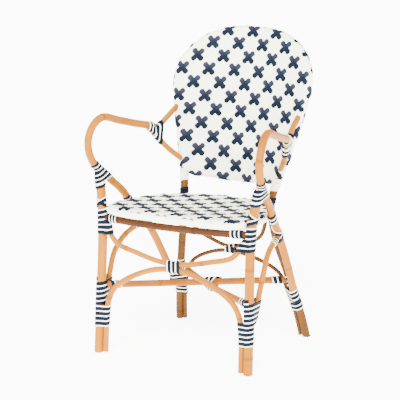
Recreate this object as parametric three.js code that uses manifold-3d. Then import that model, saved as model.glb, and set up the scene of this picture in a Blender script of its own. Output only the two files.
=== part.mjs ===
// Rattan bistro armchair: bent poles bound with two-coloured strand, a woven seat and a woven round back.
// Millimetres, +Z up. The sitter faces -Y.
import * as THREE from 'three';
import { mergeVertices } from 'three/addons/utils/BufferGeometryUtils.js';
import Module from 'manifold-3d';

const wasm = await Module();
wasm.setup();

// Overall places of the pole centrelines
const halfWidth = 284;
const frameDepth = 529;
const hoopHeight = 923;

// Poles, by radius
const legRadius = 14;
const hoopRadius = 12;
const armRadius = 11.5;
const bracketRadius = 8.5;
const railRadius = 10.5;
const seatHoopRadius = 10.5;
const upperArchRadius = 8;
const lowerArchRadius = 8.5;
const braceRadius = 8.5;
const stretcherRadius = 10.2;
const rearArchRadius = 6.2;
const backBarRadius = 8;

// Clearances
const touchGap = 0.3;
const poleSpacing = 0.6;
const endSpacing = 0.4;

// Weave
const weaveThickness = 3;
const seatHeight = 455;
const seatSlopeShare = 0.05;
const seatSag = 5;

// Bindings
const strandThickness = 1.6;
const strandGap = 0.8;
const bindingSpacing = 0.45;

// Feet
const glideRadius = 9;
const glideHeight = 3;
const archEndHeight = 6;

// Counts
const poleSides = 8;
const slimSides = 6;
const glideSides = 16;
const quarterStep = Math.PI / 4;
const bindingStep = (50 / 180) * Math.PI;

// Materials
const rattan = new THREE.MeshStandardMaterial({ color: 0xd09a63, roughness: 0.45, metalness: 0 });
const shadedRattan = new THREE.MeshStandardMaterial({ color: 0x9c6437, roughness: 0.5, metalness: 0 });
const navyStrand = new THREE.MeshStandardMaterial({ color: 0x2b3448, roughness: 0.4, metalness: 0 });
const whiteWeave = new THREE.MeshStandardMaterial({ color: 0xeeece4, roughness: 0.55, metalness: 0 });
const glidePlastic = new THREE.MeshStandardMaterial({ color: 0x55524e, roughness: 0.6, metalness: 0 });

// Directions
const inward = new THREE.Vector3(-1, 0, 0);
const backward = new THREE.Vector3(0, 1, 0);
const upward = new THREE.Vector3(0, 0, 1);
const alongX = new THREE.Vector3(1, 0, 0);

const chair = new THREE.Group();

function add(name, geometry, material) {
  const mesh = new THREE.Mesh(geometry, material);
  mesh.name = name;
  chair.add(mesh);
}

// Heights are shares of the whole: what lies under the seat follows the seat's height, what lies over it the rest
const seatLevelShare = 0.4929577;

function heightAt(up) {
  if (up < seatLevelShare) return (up / seatLevelShare) * seatHeight;
  return seatHeight + ((up - seatLevelShare) / (1 - seatLevelShare)) * (hoopHeight - seatHeight);
}

// Points
function place([across, back, up]) {
  return new THREE.Vector3(across * halfWidth, back * frameDepth, heightAt(up));
}

function beside(point, direction, distance) {
  return point.clone().addScaledVector(direction.clone().normalize(), distance);
}

function mirrored(points) {
  return points.map((p) => new THREE.Vector3(-p.x, p.y, p.z));
}

function bothHalves(points) {
  return [...points, ...mirrored(points.slice(0, -1)).reverse()];
}

function swap(sign, vector) {
  return new THREE.Vector3(vector.x * sign, vector.y, vector.z);
}

// A bent pole: evenly spaced points along a smooth curve, from the foot up
function bend(points, radius, steps, closed = false) {
  const curve = new THREE.CatmullRomCurve3(points, closed, 'catmullrom', 0.5);
  const line = curve.getSpacedPoints(steps);
  if (closed) line.pop();
  return { line, radius, closed };
}

function handed(pole, sign) {
  return sign > 0 ? pole : { ...pole, line: mirrored(pole.line) };
}

function tangentAt(line, i, closed) {
  const count = line.length;
  const before = closed ? line[(i + count - 1) % count] : line[Math.max(i - 1, 0)];
  const after = closed ? line[(i + 1) % count] : line[Math.min(i + 1, count - 1)];
  return after.clone().sub(before).normalize();
}

// First point from the foot where a pole reaches a height
function atHeight(pole, height) {
  const { line } = pole;
  for (let i = 1; i < line.length; i++) {
    const [a, b] = [line[i - 1], line[i]];
    const share = (height - a.z) / (b.z - a.z);
    if (share >= 0 && share <= 1) return a.clone().lerp(b, share);
  }
  return line[line.length - 1].clone();
}

// Solids
function outward(positions, index) {
  const geometry = new THREE.BufferGeometry();
  const numbers = positions.flatMap((p) => [p.x, p.y, p.z]);
  geometry.setAttribute('position', new THREE.Float32BufferAttribute(numbers, 3));
  const [u, v] = [new THREE.Vector3(), new THREE.Vector3()];
  let volume = 0;
  for (let i = 0; i < index.length; i += 3) {
    const [a, b, c] = [positions[index[i]], positions[index[i + 1]], positions[index[i + 2]]];
    volume += a.dot(u.copy(b).cross(v.copy(c)));
  }
  if (volume < 0) {
    for (let i = 0; i < index.length; i += 3) {
      [index[i + 1], index[i + 2]] = [index[i + 2], index[i + 1]];
    }
  }
  geometry.setIndex(index);
  geometry.computeVertexNormals();
  return geometry;
}

// Rings of points joined into one closed skin; the rings meet again or end in caps
function skin(rings, closed) {
  const sides = rings[0].length;
  const index = [];
  const last = closed ? rings.length : rings.length - 1;
  for (let i = 0; i < last; i++) {
    for (let j = 0; j < sides; j++) {
      const a = i * sides + j;
      const b = i * sides + ((j + 1) % sides);
      const c = ((i + 1) % rings.length) * sides + j;
      const d = ((i + 1) % rings.length) * sides + ((j + 1) % sides);
      index.push(a, b, c, b, d, c);
    }
  }
  if (!closed) {
    const end = (rings.length - 1) * sides;
    for (let j = 1; j < sides - 1; j++) {
      index.push(0, j + 1, j);
      index.push(end, end + j, end + j + 1);
    }
  }
  return outward(rings.flat(), index);
}

function squareTo(tangent, direction) {
  return direction.clone().addScaledVector(tangent, -direction.dot(tangent)).normalize();
}

function circle(centre, out, face, radius, sides) {
  const ring = [];
  for (let j = 0; j < sides; j++) {
    const angle = Math.PI / 2 - (2 * Math.PI * j) / sides;
    const point = centre.clone().addScaledVector(out, radius * Math.cos(angle));
    ring.push(point.addScaledVector(face, radius * Math.sin(angle)));
  }
  return ring;
}

function tube(pole, sides = poleSides, radius = pole.radius, faceAt = null) {
  const rings = [];
  let face = new THREE.Vector3(0.3, -0.9, 0.31);
  for (let i = 0; i < pole.line.length; i++) {
    const tangent = tangentAt(pole.line, i, pole.closed);
    face = squareTo(tangent, faceAt ? faceAt(pole.line[i]) : face);
    const out = new THREE.Vector3().crossVectors(tangent, face);
    rings.push(circle(pole.line[i], out, face, radius, sides));
  }
  return skin(rings, pole.closed);
}

function toSolid(geometry) {
  const bare = geometry.clone();
  bare.deleteAttribute('normal');
  bare.deleteAttribute('uv');
  const merged = mergeVertices(bare);
  const vertProperties = new Float32Array(merged.attributes.position.array);
  const triVerts = new Uint32Array(merged.index.array);
  return new wasm.Manifold(new wasm.Mesh({ numProp: 3, vertProperties, triVerts }));
}

function toGeometry(solid) {
  const { numProp, vertProperties, triVerts } = solid.getMesh();
  const positions = [];
  for (let i = 0; i < vertProperties.length; i += numProp) {
    positions.push(new THREE.Vector3(vertProperties[i], vertProperties[i + 1], vertProperties[i + 2]));
  }
  return outward(positions, Array.from(triVerts));
}

// Cutting away keeps the one large body that is left, without its slivers
const leastSliver = 0.02;

function cut(geometry, ...cutters) {
  let solid = toSolid(geometry);
  for (const cutter of cutters) solid = solid.subtract(toSolid(cutter));
  const bodies = solid.decompose().sort((a, b) => b.volume() - a.volume());
  return toGeometry(bodies[0].simplify(leastSliver));
}

// Front legs
const legRouteShares = [
  [0.887, 0, 0], [0.879, 0.017, 0.173], [0.87, 0.034, 0.347],
  [0.877, 0.045, 0.466], [0.923, 0.062, 0.563], [0.934, 0.066, 0.58],
];
const footOverrun = 12;
const legPoints = legRouteShares.map(place);
legPoints.unshift(beside(legPoints[0], legPoints[0].clone().sub(legPoints[1]), footOverrun));
const leg = bend(legPoints, legRadius, 12);

// Back hoop: one pole from a rear foot up round the back and down to the other rear foot
const hoopRouteShares = [
  [0.785, 0.847, 0], [0.739, 0.802, 0.101], [0.634, 0.72, 0.255], [0.574, 0.679, 0.336],
  [0.535, 0.656, 0.417], [0.528, 0.654, 0.477], [0.577, 0.701, 0.563], [0.665, 0.752, 0.672],
  [0.746, 0.798, 0.78], [0.771, 0.828, 0.84], [0.754, 0.858, 0.884], [0.676, 0.897, 0.926],
  [0.535, 0.941, 0.964], [0.338, 0.977, 0.99], [0, 1, 1],
];
const hoopPoints = hoopRouteShares.map(place);
hoopPoints.unshift(beside(hoopPoints[0], hoopPoints[0].clone().sub(hoopPoints[1]), footOverrun));
const hoopSteps = 66;
const hoop = bend(bothHalves(hoopPoints), hoopRadius, hoopSteps);

function hoopAt(share) {
  return atHeight(hoop, heightAt(share));
}

// Seat hoop: a rounded D that passes inside the legs and in front of the uprights
const seatWrapRadius = seatHoopRadius + touchGap + weaveThickness;
const seatMiddleY = place([0, 0.325, 0]).y;

function seatHoopHeight(y) {
  return seatHeight - seatWrapRadius - y * seatSlopeShare;
}

const seatCorner = atHeight(leg, seatHoopHeight(0));
const seatRear = atHeight(hoop, seatHoopHeight(place([0, 0.65, 0]).y));
const cornerDirection = new THREE.Vector3(-0.95, 0.3, 0);
const rearDirection = new THREE.Vector3(-0.3, -0.95, 0);
const seatFrontShares = [[0, -0.025, 0], [0.352, -0.023, 0], [0.592, -0.008, 0], [0.729, 0.026, 0]];
const seatSideShares = [
  [0.788, 0.151, 0], [0.782, 0.246, 0], [0.759, 0.325, 0], [0.715, 0.425, 0], [0.634, 0.52, 0],
];
const seatBackShares = [[0.335, 0.648, 0], [0.158, 0.669, 0], [0, 0.675, 0]];
const seatHalf = [
  ...seatFrontShares.map(place),
  beside(seatCorner, cornerDirection, legRadius + seatWrapRadius + poleSpacing),
  ...seatSideShares.map(place),
  beside(seatRear, rearDirection, hoopRadius + seatWrapRadius + poleSpacing),
  ...seatBackShares.map(place),
];
for (const p of seatHalf) p.z = seatHoopHeight(p.y);
const seatSteps = 40;
const seatLoop = [...seatHalf, ...mirrored(seatHalf.slice(1, -1)).reverse()];
const seatRing = bend(seatLoop, seatHoopRadius, seatSteps, true);
const strapPoint = seatHalf[7];

// Arm poles: up from the rear foot past the seat, over the front and back to the bracket
const armFootDirection = new THREE.Vector3(0.48, -0.88, 0);
const armFootShares = [0.139, 0.17];
const armLowerShares = [[0.754, 0.68, 0.21], [0.782, 0.554, 0.321], [0.813, 0.42, 0.42]];
const armUpperShares = [
  [0.877, 0.259, 0.514], [0.926, 0.127, 0.575], [0.982, 0.034, 0.628], [1, 0.004, 0.689],
  [0.993, 0.049, 0.74], [0.965, 0.136, 0.763], [0.93, 0.267, 0.743], [0.887, 0.4, 0.7215],
  [0.835, 0.511, 0.7055], [0.8145, 0.544, 0.6997],
];
const armFootReach = hoopRadius + armRadius + 2 * poleSpacing;
const armSide = strapPoint.clone();
armSide.x += seatWrapRadius + armRadius + poleSpacing;
const arm = bend([
  ...armFootShares.map((up) => beside(hoopAt(up), armFootDirection, armFootReach)),
  ...armLowerShares.map(place),
  armSide,
  ...armUpperShares.map(place),
], armRadius, 36);

// Arm brackets: a bent pole from the hoop round the arm's end and back to the hoop
const backWrapRadius = hoopRadius + touchGap + weaveThickness;
const bracketEndShares = [0.58, 0.752];
const bracketEndReach = 11;
const bracketSpacing = 1;
const bracketEndDirections = [new THREE.Vector3(0.35, -0.9, 0.2), new THREE.Vector3(0.15, -0.98, -0.2)];
const bracketLowerShares = [[0.694, 0.631, 0.618], [0.761, 0.58, 0.655]];
const bracketApexShare = [0.793, 0.558, 0.68];
const bracketUpperShares = [[0.781, 0.592, 0.695], [0.75, 0.674, 0.7235]];
const bracket = bend([
  beside(hoopAt(bracketEndShares[0]), bracketEndDirections[0], bracketEndReach),
  ...bracketLowerShares.map(place),
  place(bracketApexShare),
  ...bracketUpperShares.map(place),
  beside(hoopAt(bracketEndShares[1]), bracketEndDirections[1], bracketEndReach),
], bracketRadius, 22);

// What a strand takes up outside the pole that it is wound on
const boundLegRadius = (legRadius + bindingSpacing + strandThickness) / Math.cos(bindingStep / 2);
const strandReach = boundLegRadius - legRadius + touchGap;

// Front rail, bowed forward under the seat's front edge
const railSeatGap = 1.6;
const railDrop = railRadius + bindingSpacing + strandThickness + railSeatGap;
const railHeight = seatHoopHeight(0) - seatWrapRadius - railDrop;
const railEnd = beside(atHeight(leg, railHeight), inward, legRadius);
const railBow = 30;
const railQuarter = new THREE.Vector3(railEnd.x * 0.6, railEnd.y - railBow * 0.72, railHeight);
const railMiddle = new THREE.Vector3(0, railEnd.y - railBow, railHeight);
const rail = bend(bothHalves([railEnd, railQuarter, railMiddle]), railRadius, 10);

// Front arches, tied together where they meet
const archMeetShare = 0.31853;
const archMeetHeight = heightAt(archMeetShare);
const archMeetY = 2;
const upperArchInset = legRadius + upperArchRadius + poleSpacing;
const lowerArchInset = legRadius + lowerArchRadius + poleSpacing;
const upperArchTop = railHeight - railRadius - 1.5 * upperArchRadius;
const upperArchFreeShares = [
  [0.764, 0.026, 0.4], [0.655, 0.021, 0.367], [0.437, 0.014, 0.349], [0.215, 0.007, 0.334],
];
const upperArch = bend(bothHalves([
  beside(atHeight(leg, upperArchTop), inward, upperArchInset),
  ...upperArchFreeShares.map(place),
  new THREE.Vector3(0, archMeetY, archMeetHeight + upperArchRadius + poleSpacing),
]), upperArchRadius, 28);
const lowerArchHoldShares = [0.06, 0.13];
const lowerArchFreeShares = [
  [0.764, 0.013, 0.188], [0.669, 0.013, 0.232], [0.454, 0.011, 0.274], [0.211, 0.007, 0.302],
];
const lowerArch = bend(bothHalves([
  beside(atHeight(leg, archEndHeight), inward, lowerArchInset),
  ...lowerArchHoldShares.map((up) => beside(atHeight(leg, heightAt(up)), inward, lowerArchInset)),
  ...lowerArchFreeShares.map(place),
  new THREE.Vector3(0, archMeetY, archMeetHeight - lowerArchRadius),
]), lowerArchRadius, 40);

// Side braces, from behind the front leg up to the arm pole
const braceFootShare = 0.163;
const braceTopShare = 0.4;
const braceSaddleDepth = 3;
const braceFreeShares = [
  [0.884, 0.0945, 0.198], [0.891, 0.133, 0.258], [0.889, 0.186, 0.318], [0.854, 0.276, 0.364],
];
const braceTopDirection = new THREE.Vector3(0, -0.79, -0.61);
const brace = bend([
  beside(atHeight(leg, heightAt(braceFootShare)), backward, legRadius + braceRadius + poleSpacing),
  ...braceFreeShares.map(place),
  beside(atHeight(arm, heightAt(braceTopShare)), braceTopDirection, armRadius - braceSaddleDepth),
], braceRadius, 14);

// Rear arches, tied together in the middle
const rearArchInset = hoopRadius + rearArchRadius + 2 * poleSpacing;
const rearMeet = place([0, 0.686, 0.295]);
const rearUpperHoldShares = [0.436, 0.42];
const rearUpperFreeShares = [[0.394, 0.665, 0.355], [0.194, 0.677, 0.32]];
const rearUpperArch = bend(bothHalves([
  ...rearUpperHoldShares.map((up) => beside(hoopAt(up), inward, rearArchInset)),
  ...rearUpperFreeShares.map(place),
  beside(rearMeet, upward, rearArchRadius + poleSpacing),
]), rearArchRadius, 24);
const rearLowerHoldShares = [0.055, 0.1, 0.15];
const rearLowerFreeShares = [[0.528, 0.752, 0.225], [0.282, 0.715, 0.269]];
const rearLowerArch = bend(bothHalves([
  beside(atHeight(hoop, archEndHeight), inward, rearArchInset),
  ...rearLowerHoldShares.map((up) => beside(hoopAt(up), inward, rearArchInset)),
  ...rearLowerFreeShares.map(place),
  beside(rearMeet, upward, -rearArchRadius),
]), rearArchRadius, 32);

// Crossed stretchers: one straight, the other sprung down under it in a shallow saddle
const stretcherFrontShare = 0.225;
const stretcherRearShare = 0.206;
const stretcherDrop = 11;

function stretcherPoints(drop) {
  const front = atHeight(leg, heightAt(stretcherFrontShare));
  front.x = -front.x;
  const rear = hoopAt(stretcherRearShare);
  const along = rear.clone().sub(front);
  const start = beside(front, along, legRadius + strandReach + endSpacing);
  const end = beside(front, along, along.length() - hoopRadius);
  const middle = front.clone().lerp(rear, front.x / (front.x - rear.x));
  middle.z -= drop;
  return drop > 0 ? [start, middle, end] : [start, end];
}

const straightStretcher = bend(stretcherPoints(0), stretcherRadius, 2);
const sprungStretcher = bend(mirrored(stretcherPoints(stretcherDrop)), stretcherRadius, 10);

// The back's front surface: depth at each height on the middle line, with the sides brought forward
const backSurfaceShares = [
  [0.756, 0.54], [0.756, 0.569], [0.758, 0.614], [0.78, 0.658], [0.797, 0.702], [0.814, 0.749],
  [0.844, 0.792], [0.865, 0.837], [0.889, 0.879], [0.911, 0.921], [0.939, 0.961], [0.968, 1.002],
];
const backBow = 0.26;

const backProfile = backSurfaceShares.map(([back, up]) => place([0, back, up]));

function backSurface(x, z) {
  let i = 1;
  while (i < backProfile.length - 1 && backProfile[i].z < z) i++;
  const [lower, upper] = [backProfile[i - 1], backProfile[i]];
  const share = (z - lower.z) / (upper.z - lower.z);
  return lower.y + (upper.y - lower.y) * share - backBow * ((x * x) / halfWidth);
}

// The back leans more toward its top
const leanFromShare = 0.55;
const lean = 0.42;

function backFace(point) {
  const leanFrom = heightAt(leanFromShare);
  const up = THREE.MathUtils.clamp((point.z - leanFrom) / (hoopHeight - leanFrom), 0, 1);
  return new THREE.Vector3((-2 * backBow * point.x) / halfWidth, -1, lean * up).normalize();
}

// Back bar across the bottom of the weave
const backBarShare = 0.545;
const backBarSag = 17;
const backBarSaddleDepth = 3;
const barWrapRadius = backBarRadius + touchGap + weaveThickness;
const backBarEnd = hoopAt(backBarShare);
const backBarHeight = backBarEnd.z - backBarSag;
const backBarMiddle = new THREE.Vector3(0, backSurface(0, backBarHeight) + barWrapRadius, backBarHeight);
const barBulgeBack = 5;
const barBulgeDown = 2;
const barBulge = new THREE.Vector3(0, barBulgeBack, -barBulgeDown);
const backBar = bend(bothHalves([
  beside(backBarEnd, inward, hoopRadius - backBarSaddleDepth),
  backBarEnd.clone().lerp(backBarMiddle, 0.33).add(barBulge),
  backBarEnd.clone().lerp(backBarMiddle, 0.66).add(barBulge),
  backBarMiddle,
]), backBarRadius, 12);

// Poles as solids, with the feet sawn level above the glides
const sawnHeight = glideHeight + touchGap;

function belowFeet() {
  const block = new THREE.BoxGeometry(4 * halfWidth, 4 * frameDepth, halfWidth);
  block.translate(0, frameDepth / 2, sawnHeight - halfWidth / 2);
  return block;
}

const sides = [['left', 1], ['right', -1]];

function postRadius(radius) {
  return (radius + strandReach) / Math.cos(Math.PI / poleSides);
}

const hoopSaddle = tube(hoop, poleSides, backWrapRadius + bracketSpacing, backFace);
for (const [side, sign] of sides) {
  const armHere = handed(arm, sign);
  const armSaddle = tube(armHere, poleSides, armRadius + endSpacing);
  add(`front_leg_${side}`, cut(tube(handed(leg, sign)), belowFeet(), armSaddle), rattan);
  add(`arm_pole_${side}`, tube(armHere), rattan);
  add(`arm_bracket_${side}`, cut(tube(handed(bracket, sign), slimSides), hoopSaddle), rattan);
  add(`side_brace_${side}`, cut(tube(handed(brace, sign), slimSides), armSaddle), rattan);
}
add('back_hoop', cut(tube(hoop, poleSides, hoopRadius, backFace), belowFeet()), rattan);
const frontPosts = sides.map(([, sign]) => tube(handed(leg, sign), poleSides, postRadius(legRadius)));
add('front_rail', cut(tube(rail), ...frontPosts), rattan);
add('front_upper_arch', tube(upperArch, slimSides), rattan);
add('front_lower_arch', tube(lowerArch, slimSides), rattan);
add('rear_upper_arch', tube(rearUpperArch, slimSides), shadedRattan);
add('rear_lower_arch', tube(rearLowerArch, slimSides), shadedRattan);
const rearPost = tube(hoop, poleSides, postRadius(hoopRadius));
add('straight_stretcher', cut(tube(straightStretcher), rearPost), rattan);
const stretcherSaddle = tube(straightStretcher, poleSides, stretcherRadius + endSpacing);
add('sprung_stretcher', cut(tube(sprungStretcher), stretcherSaddle, rearPost), shadedRattan);
const barSaddle = tube(hoop, poleSides, hoopRadius + endSpacing, backFace);
add('back_bar', cut(tube(backBar, poleSides, backBarRadius, backFace), barSaddle), rattan);
const seatFace = new THREE.Vector3(0, seatSlopeShare, 1);
add('seat_hoop', tube(seatRing, poleSides, seatHoopRadius, () => seatFace), shadedRattan);

// A woven panel: ribs run from the middle of the front face over the rim, round the pole and back
const rimTurns = [0, 1, 2, 3, 4, 5, 6, 6.7];
const panelShares = [0.34, 0.66, 0.87];

function rib({ centre, out, face, radius }, surface) {
  const onRim = (reach, turn) => {
    const angle = Math.PI / 2 - turn * quarterStep;
    const point = centre.clone().addScaledVector(out, reach * Math.cos(angle));
    return point.addScaledVector(face, reach * Math.sin(angle));
  };
  const channel = radius - weaveThickness;
  return [
    ...panelShares.map((share) => surface(share, 0)),
    ...rimTurns.map((turn) => onRim(radius, turn)),
    ...[...rimTurns].reverse().map((turn) => onRim(channel, turn)),
    ...[...panelShares].reverse().map((share) => surface(share, weaveThickness)),
  ];
}

function wovenPanel(ribs, middle) {
  const size = ribs[0].length;
  const count = ribs.length;
  const positions = [...ribs.flat(), ...middle];
  const index = [];
  for (let i = 0; i < count; i++) {
    const next = (i + 1) % count;
    for (let j = 0; j < size - 1; j++) {
      const [a, b] = [i * size + j, i * size + j + 1];
      const [c, d] = [next * size + j, next * size + j + 1];
      index.push(a, c, b, b, c, d);
    }
    index.push(count * size, next * size, i * size);
    index.push(count * size + 1, i * size + size - 1, next * size + size - 1);
  }
  return outward(positions, index);
}

// Seat weave
function seatSurface(centre) {
  return (share, depth) => {
    const y = seatMiddleY + (centre.y - seatMiddleY) * share;
    const z = seatHoopHeight(y) + seatWrapRadius - seatSag * (1 - share * share) - depth;
    return new THREE.Vector3(centre.x * share, y, z);
  };
}

function seatRibs() {
  return seatRing.line.map((centre, i) => {
    const tangent = tangentAt(seatRing.line, i, true);
    const face = squareTo(tangent, seatFace);
    const out = new THREE.Vector3().crossVectors(tangent, face);
    return rib({ centre, out, face, radius: seatWrapRadius }, seatSurface(centre));
  });
}

const seatMiddle = [0, weaveThickness].map((depth) => seatSurface(seatRing.line[0])(0, depth));
add('seat_weave', wovenPanel(seatRibs(), seatMiddle), whiteWeave);

// Back weave: its rim follows the hoop, turns at the lower corners and returns along the bar
const rimLeavesShare = 0.6;
const cornerPullShare = 0.557;
const cornerShares = [0.25, 0.5, 0.75];
const cutGap = 0.22;
const barOverlap = 2;

function backRim() {
  const stations = [];
  const firstIndex = hoop.line.findIndex((p) => p.z > heightAt(rimLeavesShare));
  const lastIndex = hoopSteps - firstIndex;
  for (let i = firstIndex; i <= lastIndex; i++) {
    stations.push({ centre: hoop.line[i], tangent: tangentAt(hoop.line, i), radius: backWrapRadius });
  }
  const bar = backBar.line.slice(barOverlap, -barOverlap);
  const radiusAt = (share) => backWrapRadius + (barWrapRadius - backWrapRadius) * share;
  const pull = hoopAt(cornerPullShare);
  const intoBar = new THREE.QuadraticBezierCurve3(hoop.line[lastIndex], swap(-1, pull), bar[bar.length - 1]);
  const outOfBar = new THREE.QuadraticBezierCurve3(bar[0], pull, hoop.line[firstIndex]);
  for (const share of cornerShares) {
    stations.push({ centre: intoBar.getPoint(share), radius: radiusAt(share) });
  }
  for (const centre of [...bar].reverse()) {
    stations.push({ centre, radius: barWrapRadius });
  }
  for (const share of cornerShares) {
    stations.push({ centre: outOfBar.getPoint(share), radius: radiusAt(1 - share) });
  }
  const centres = stations.map((station) => station.centre);
  stations.forEach((station, i) => {
    station.tangent = station.tangent ?? tangentAt(centres, i, true);
    station.face = squareTo(station.tangent, backFace(station.centre));
    station.out = new THREE.Vector3().crossVectors(station.tangent, station.face);
  });
  return { stations, firstIndex };
}

const backMiddle = place([0, 0, 0.775]);

function backPanelSurface(station) {
  const rim = station.centre.clone().addScaledVector(station.face, station.radius);
  const miss = rim.y - backSurface(rim.x, rim.z);
  return (share, depth) => {
    const x = rim.x * share;
    const z = backMiddle.z + (rim.z - backMiddle.z) * share;
    return new THREE.Vector3(x, backSurface(x, z) + miss * share * share + depth, z);
  };
}

function backPanel() {
  const { stations, firstIndex } = backRim();
  const ribs = stations.map((station) => rib(station, backPanelSurface(station)));
  const middle = [0, weaveThickness].map((depth) => backPanelSurface(stations[0])(0, depth));
  const reach = 8;
  const upright = { ...hoop, line: hoop.line.slice(firstIndex - reach, firstIndex + 1) };
  const barEnd = { ...backBar, line: backBar.line.slice(0, barOverlap + 1) };
  const cutters = sides.flatMap(([, sign]) => [
    tube(handed(upright, sign), poleSides, hoopRadius + cutGap, backFace),
    tube(handed(barEnd, sign), poleSides, backBarRadius + cutGap, backFace),
  ]);
  return cut(wovenPanel(ribs, middle), ...cutters);
}

add('back_weave', backPanel(), whiteWeave);

// Bindings: a strand wound round poles that lie side by side
function alongHeight(pole) {
  return (height) => {
    const above = atHeight(pole, height + legRadius);
    const below = atHeight(pole, height - legRadius);
    return { origin: atHeight(pole, height), normal: above.sub(below).normalize() };
  };
}

function alongLine(origin, direction) {
  const normal = direction.clone().normalize();
  return (distance) => ({ origin: beside(origin, normal, distance), normal });
}

// The planes of the loops fan out from one station to the next
function fanned(stations) {
  return (distance) => {
    let i = 1;
    while (i < stations.length - 1 && stations[i].at < distance) i++;
    const [a, b] = [stations[i - 1], stations[i]];
    const share = (distance - a.at) / (b.at - a.at);
    const normal = a.normal.clone().lerp(b.normal, share).normalize();
    return { origin: a.origin.clone().lerp(b.origin, share), normal };
  };
}

// Where a pole passes through the plane of a loop, or would if it went on straight
function section(pole, origin, normal) {
  const steepest = 0.6;
  const { line } = pole;
  const last = line.length - 1;
  let best = null;
  for (let i = 0; i < last; i++) {
    const a = line[i].clone().sub(origin);
    const b = line[i + 1].clone().sub(origin);
    const [da, db] = [a.dot(normal), b.dot(normal)];
    const share = da / (da - db);
    const inside = share >= 0 && share <= 1;
    const beyond = (i === 0 && share < 0) || (i === last - 1 && share > 1);
    if (!inside && !beyond) continue;
    const tilt = Math.abs(db - da) / a.distanceTo(b);
    const point = a.clone().lerp(b, share);
    const radius = pole.radius / Math.max(tilt, steepest);
    const found = { point, distance: point.length(), radius, inside };
    const nearer = inside === best?.inside && found.distance < best.distance;
    if (!best || (inside && !best.inside) || nearer) best = found;
  }
  return best;
}

// The taut band round the poles: the corners of an outline that touches every circle
const full = 2 * Math.PI;

function turned(angle) {
  return ((angle % full) + full) % full;
}

function outline(binding, poles, at, counts) {
  const { origin, normal } = binding.guide(at);
  const across = squareTo(normal, binding.start);
  const aside = new THREE.Vector3().crossVectors(normal, across);
  const circles = poles.map((pole) => {
    const { point, radius } = section(pole, origin, normal);
    return { x: point.dot(across), y: point.dot(aside), radius: radius + bindingSpacing };
  });
  if (circles.length > 2) {
    const [a, b, c] = circles;
    const turnsRight = (b.x - a.x) * (c.y - a.y) - (b.y - a.y) * (c.x - a.x) < 0;
    if (turnsRight) circles.reverse();
  }
  const edge = (from, to) => {
    const distance = Math.hypot(to.x - from.x, to.y - from.y);
    return Math.atan2(to.y - from.y, to.x - from.x) - Math.acos((from.radius - to.radius) / distance);
  };
  const corners = [];
  circles.forEach((c, owner) => {
    const before = circles[(owner + circles.length - 1) % circles.length];
    const after = circles[(owner + 1) % circles.length];
    const alone = circles.length === 1;
    const begin = alone ? 0 : edge(before, c);
    const arc = alone ? full : turned(edge(c, after) - begin);
    const count = counts ? counts[owner] : Math.max(2, Math.round(arc / bindingStep));
    const step = arc / count;
    for (let k = 0; k < count; k++) {
      corners.push({ angle: begin + step * (k + 0.5), c, widen: 1 / Math.cos(step / 2), owner });
    }
  });
  const toWorld = (corner, extra) => {
    const reach = (corner.c.radius + extra) * corner.widen;
    const point = origin.clone().addScaledVector(across, corner.c.x + reach * Math.cos(corner.angle));
    return point.addScaledVector(aside, corner.c.y + reach * Math.sin(corner.angle));
  };
  return {
    counts: circles.map((_, owner) => corners.filter((corner) => corner.owner === owner).length),
    angles: corners.map((corner) => turned(corner.angle)),
    inner: corners.map((corner) => toWorld(corner, 0)),
    outer: corners.map((corner) => toWorld(corner, strandThickness)),
  };
}

// Least distance between the upper edge of a loop and the lower edge of the next
function selfGap(rings, perLoop) {
  let least = Infinity;
  const segment = new THREE.Line3();
  const nearest = new THREE.Vector3();
  const early = Math.ceil(perLoop / 2);
  for (let i = 0; i < rings.length; i++) {
    for (let j = i + early; j < Math.min(i + early + perLoop, rings.length - 1); j++) {
      segment.set(rings[j][0], rings[j + 1][0]);
      segment.closestPointToPoint(rings[i][1], true, nearest);
      least = Math.min(least, nearest.distanceTo(rings[i][1]));
    }
  }
  return least;
}

// One unbroken strand: each part of it gives its poles, where it starts and ends, and its number of loops
const leastTurn = 0.25;

function winding(name, binding, material) {
  const rings = [];
  let perLoop = 0;
  let reached = 0;
  for (const { from, to, loops, poles } of binding.parts) {
    const pitch = (to - from) / loops;
    const half = (pitch - strandGap) / 2;
    const { counts, angles } = outline(binding, poles, (from + to) / 2);
    const size = angles.length;
    const ahead = angles.map((angle) => turned(angle - reached - leastTurn));
    const first = ahead.indexOf(Math.min(...ahead));
    reached = angles[(first + size - 1) % size];
    perLoop = Math.max(perLoop, size);
    for (let i = 0; i < loops * size; i++) {
      const at = from + (i / size) * pitch;
      const corner = (first + i) % size;
      const low = outline(binding, poles, at - half, counts);
      const high = outline(binding, poles, at + half, counts);
      rings.push([low.inner[corner], high.inner[corner], high.outer[corner], low.outer[corner]]);
    }
  }
  add(name, skin(rings, false), material);
  console.log(`${name}: least gap of the strand to itself ${selfGap(rings, perLoop).toFixed(2)} mm`);
}

// A plain sleeve of close-laid strand
function sleeve(name, binding, poles, from, to, material, rows = 1) {
  const { counts, inner } = outline(binding, poles, (from + to) / 2);
  const levels = Array.from({ length: rows + 1 }, (_, k) => from + ((to - from) * k) / rows);
  const outlines = levels.map((at) => outline(binding, poles, at, counts));
  const upwards = (side, i) => outlines.map((line) => line[side][i]);
  const rings = inner.map((_, i) => [...upwards('inner', i), ...upwards('outer', i).reverse()]);
  add(name, skin(rings, true), material);
}

// A strap round the far side of a pole, open toward the seat
const strapArc = (190 / 180) * Math.PI;
const strapSteps = 6;
const strapCorners = [[-0.5, 0], [0.5, 0], [0.5, strandThickness], [-0.5, strandThickness]];

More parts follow.
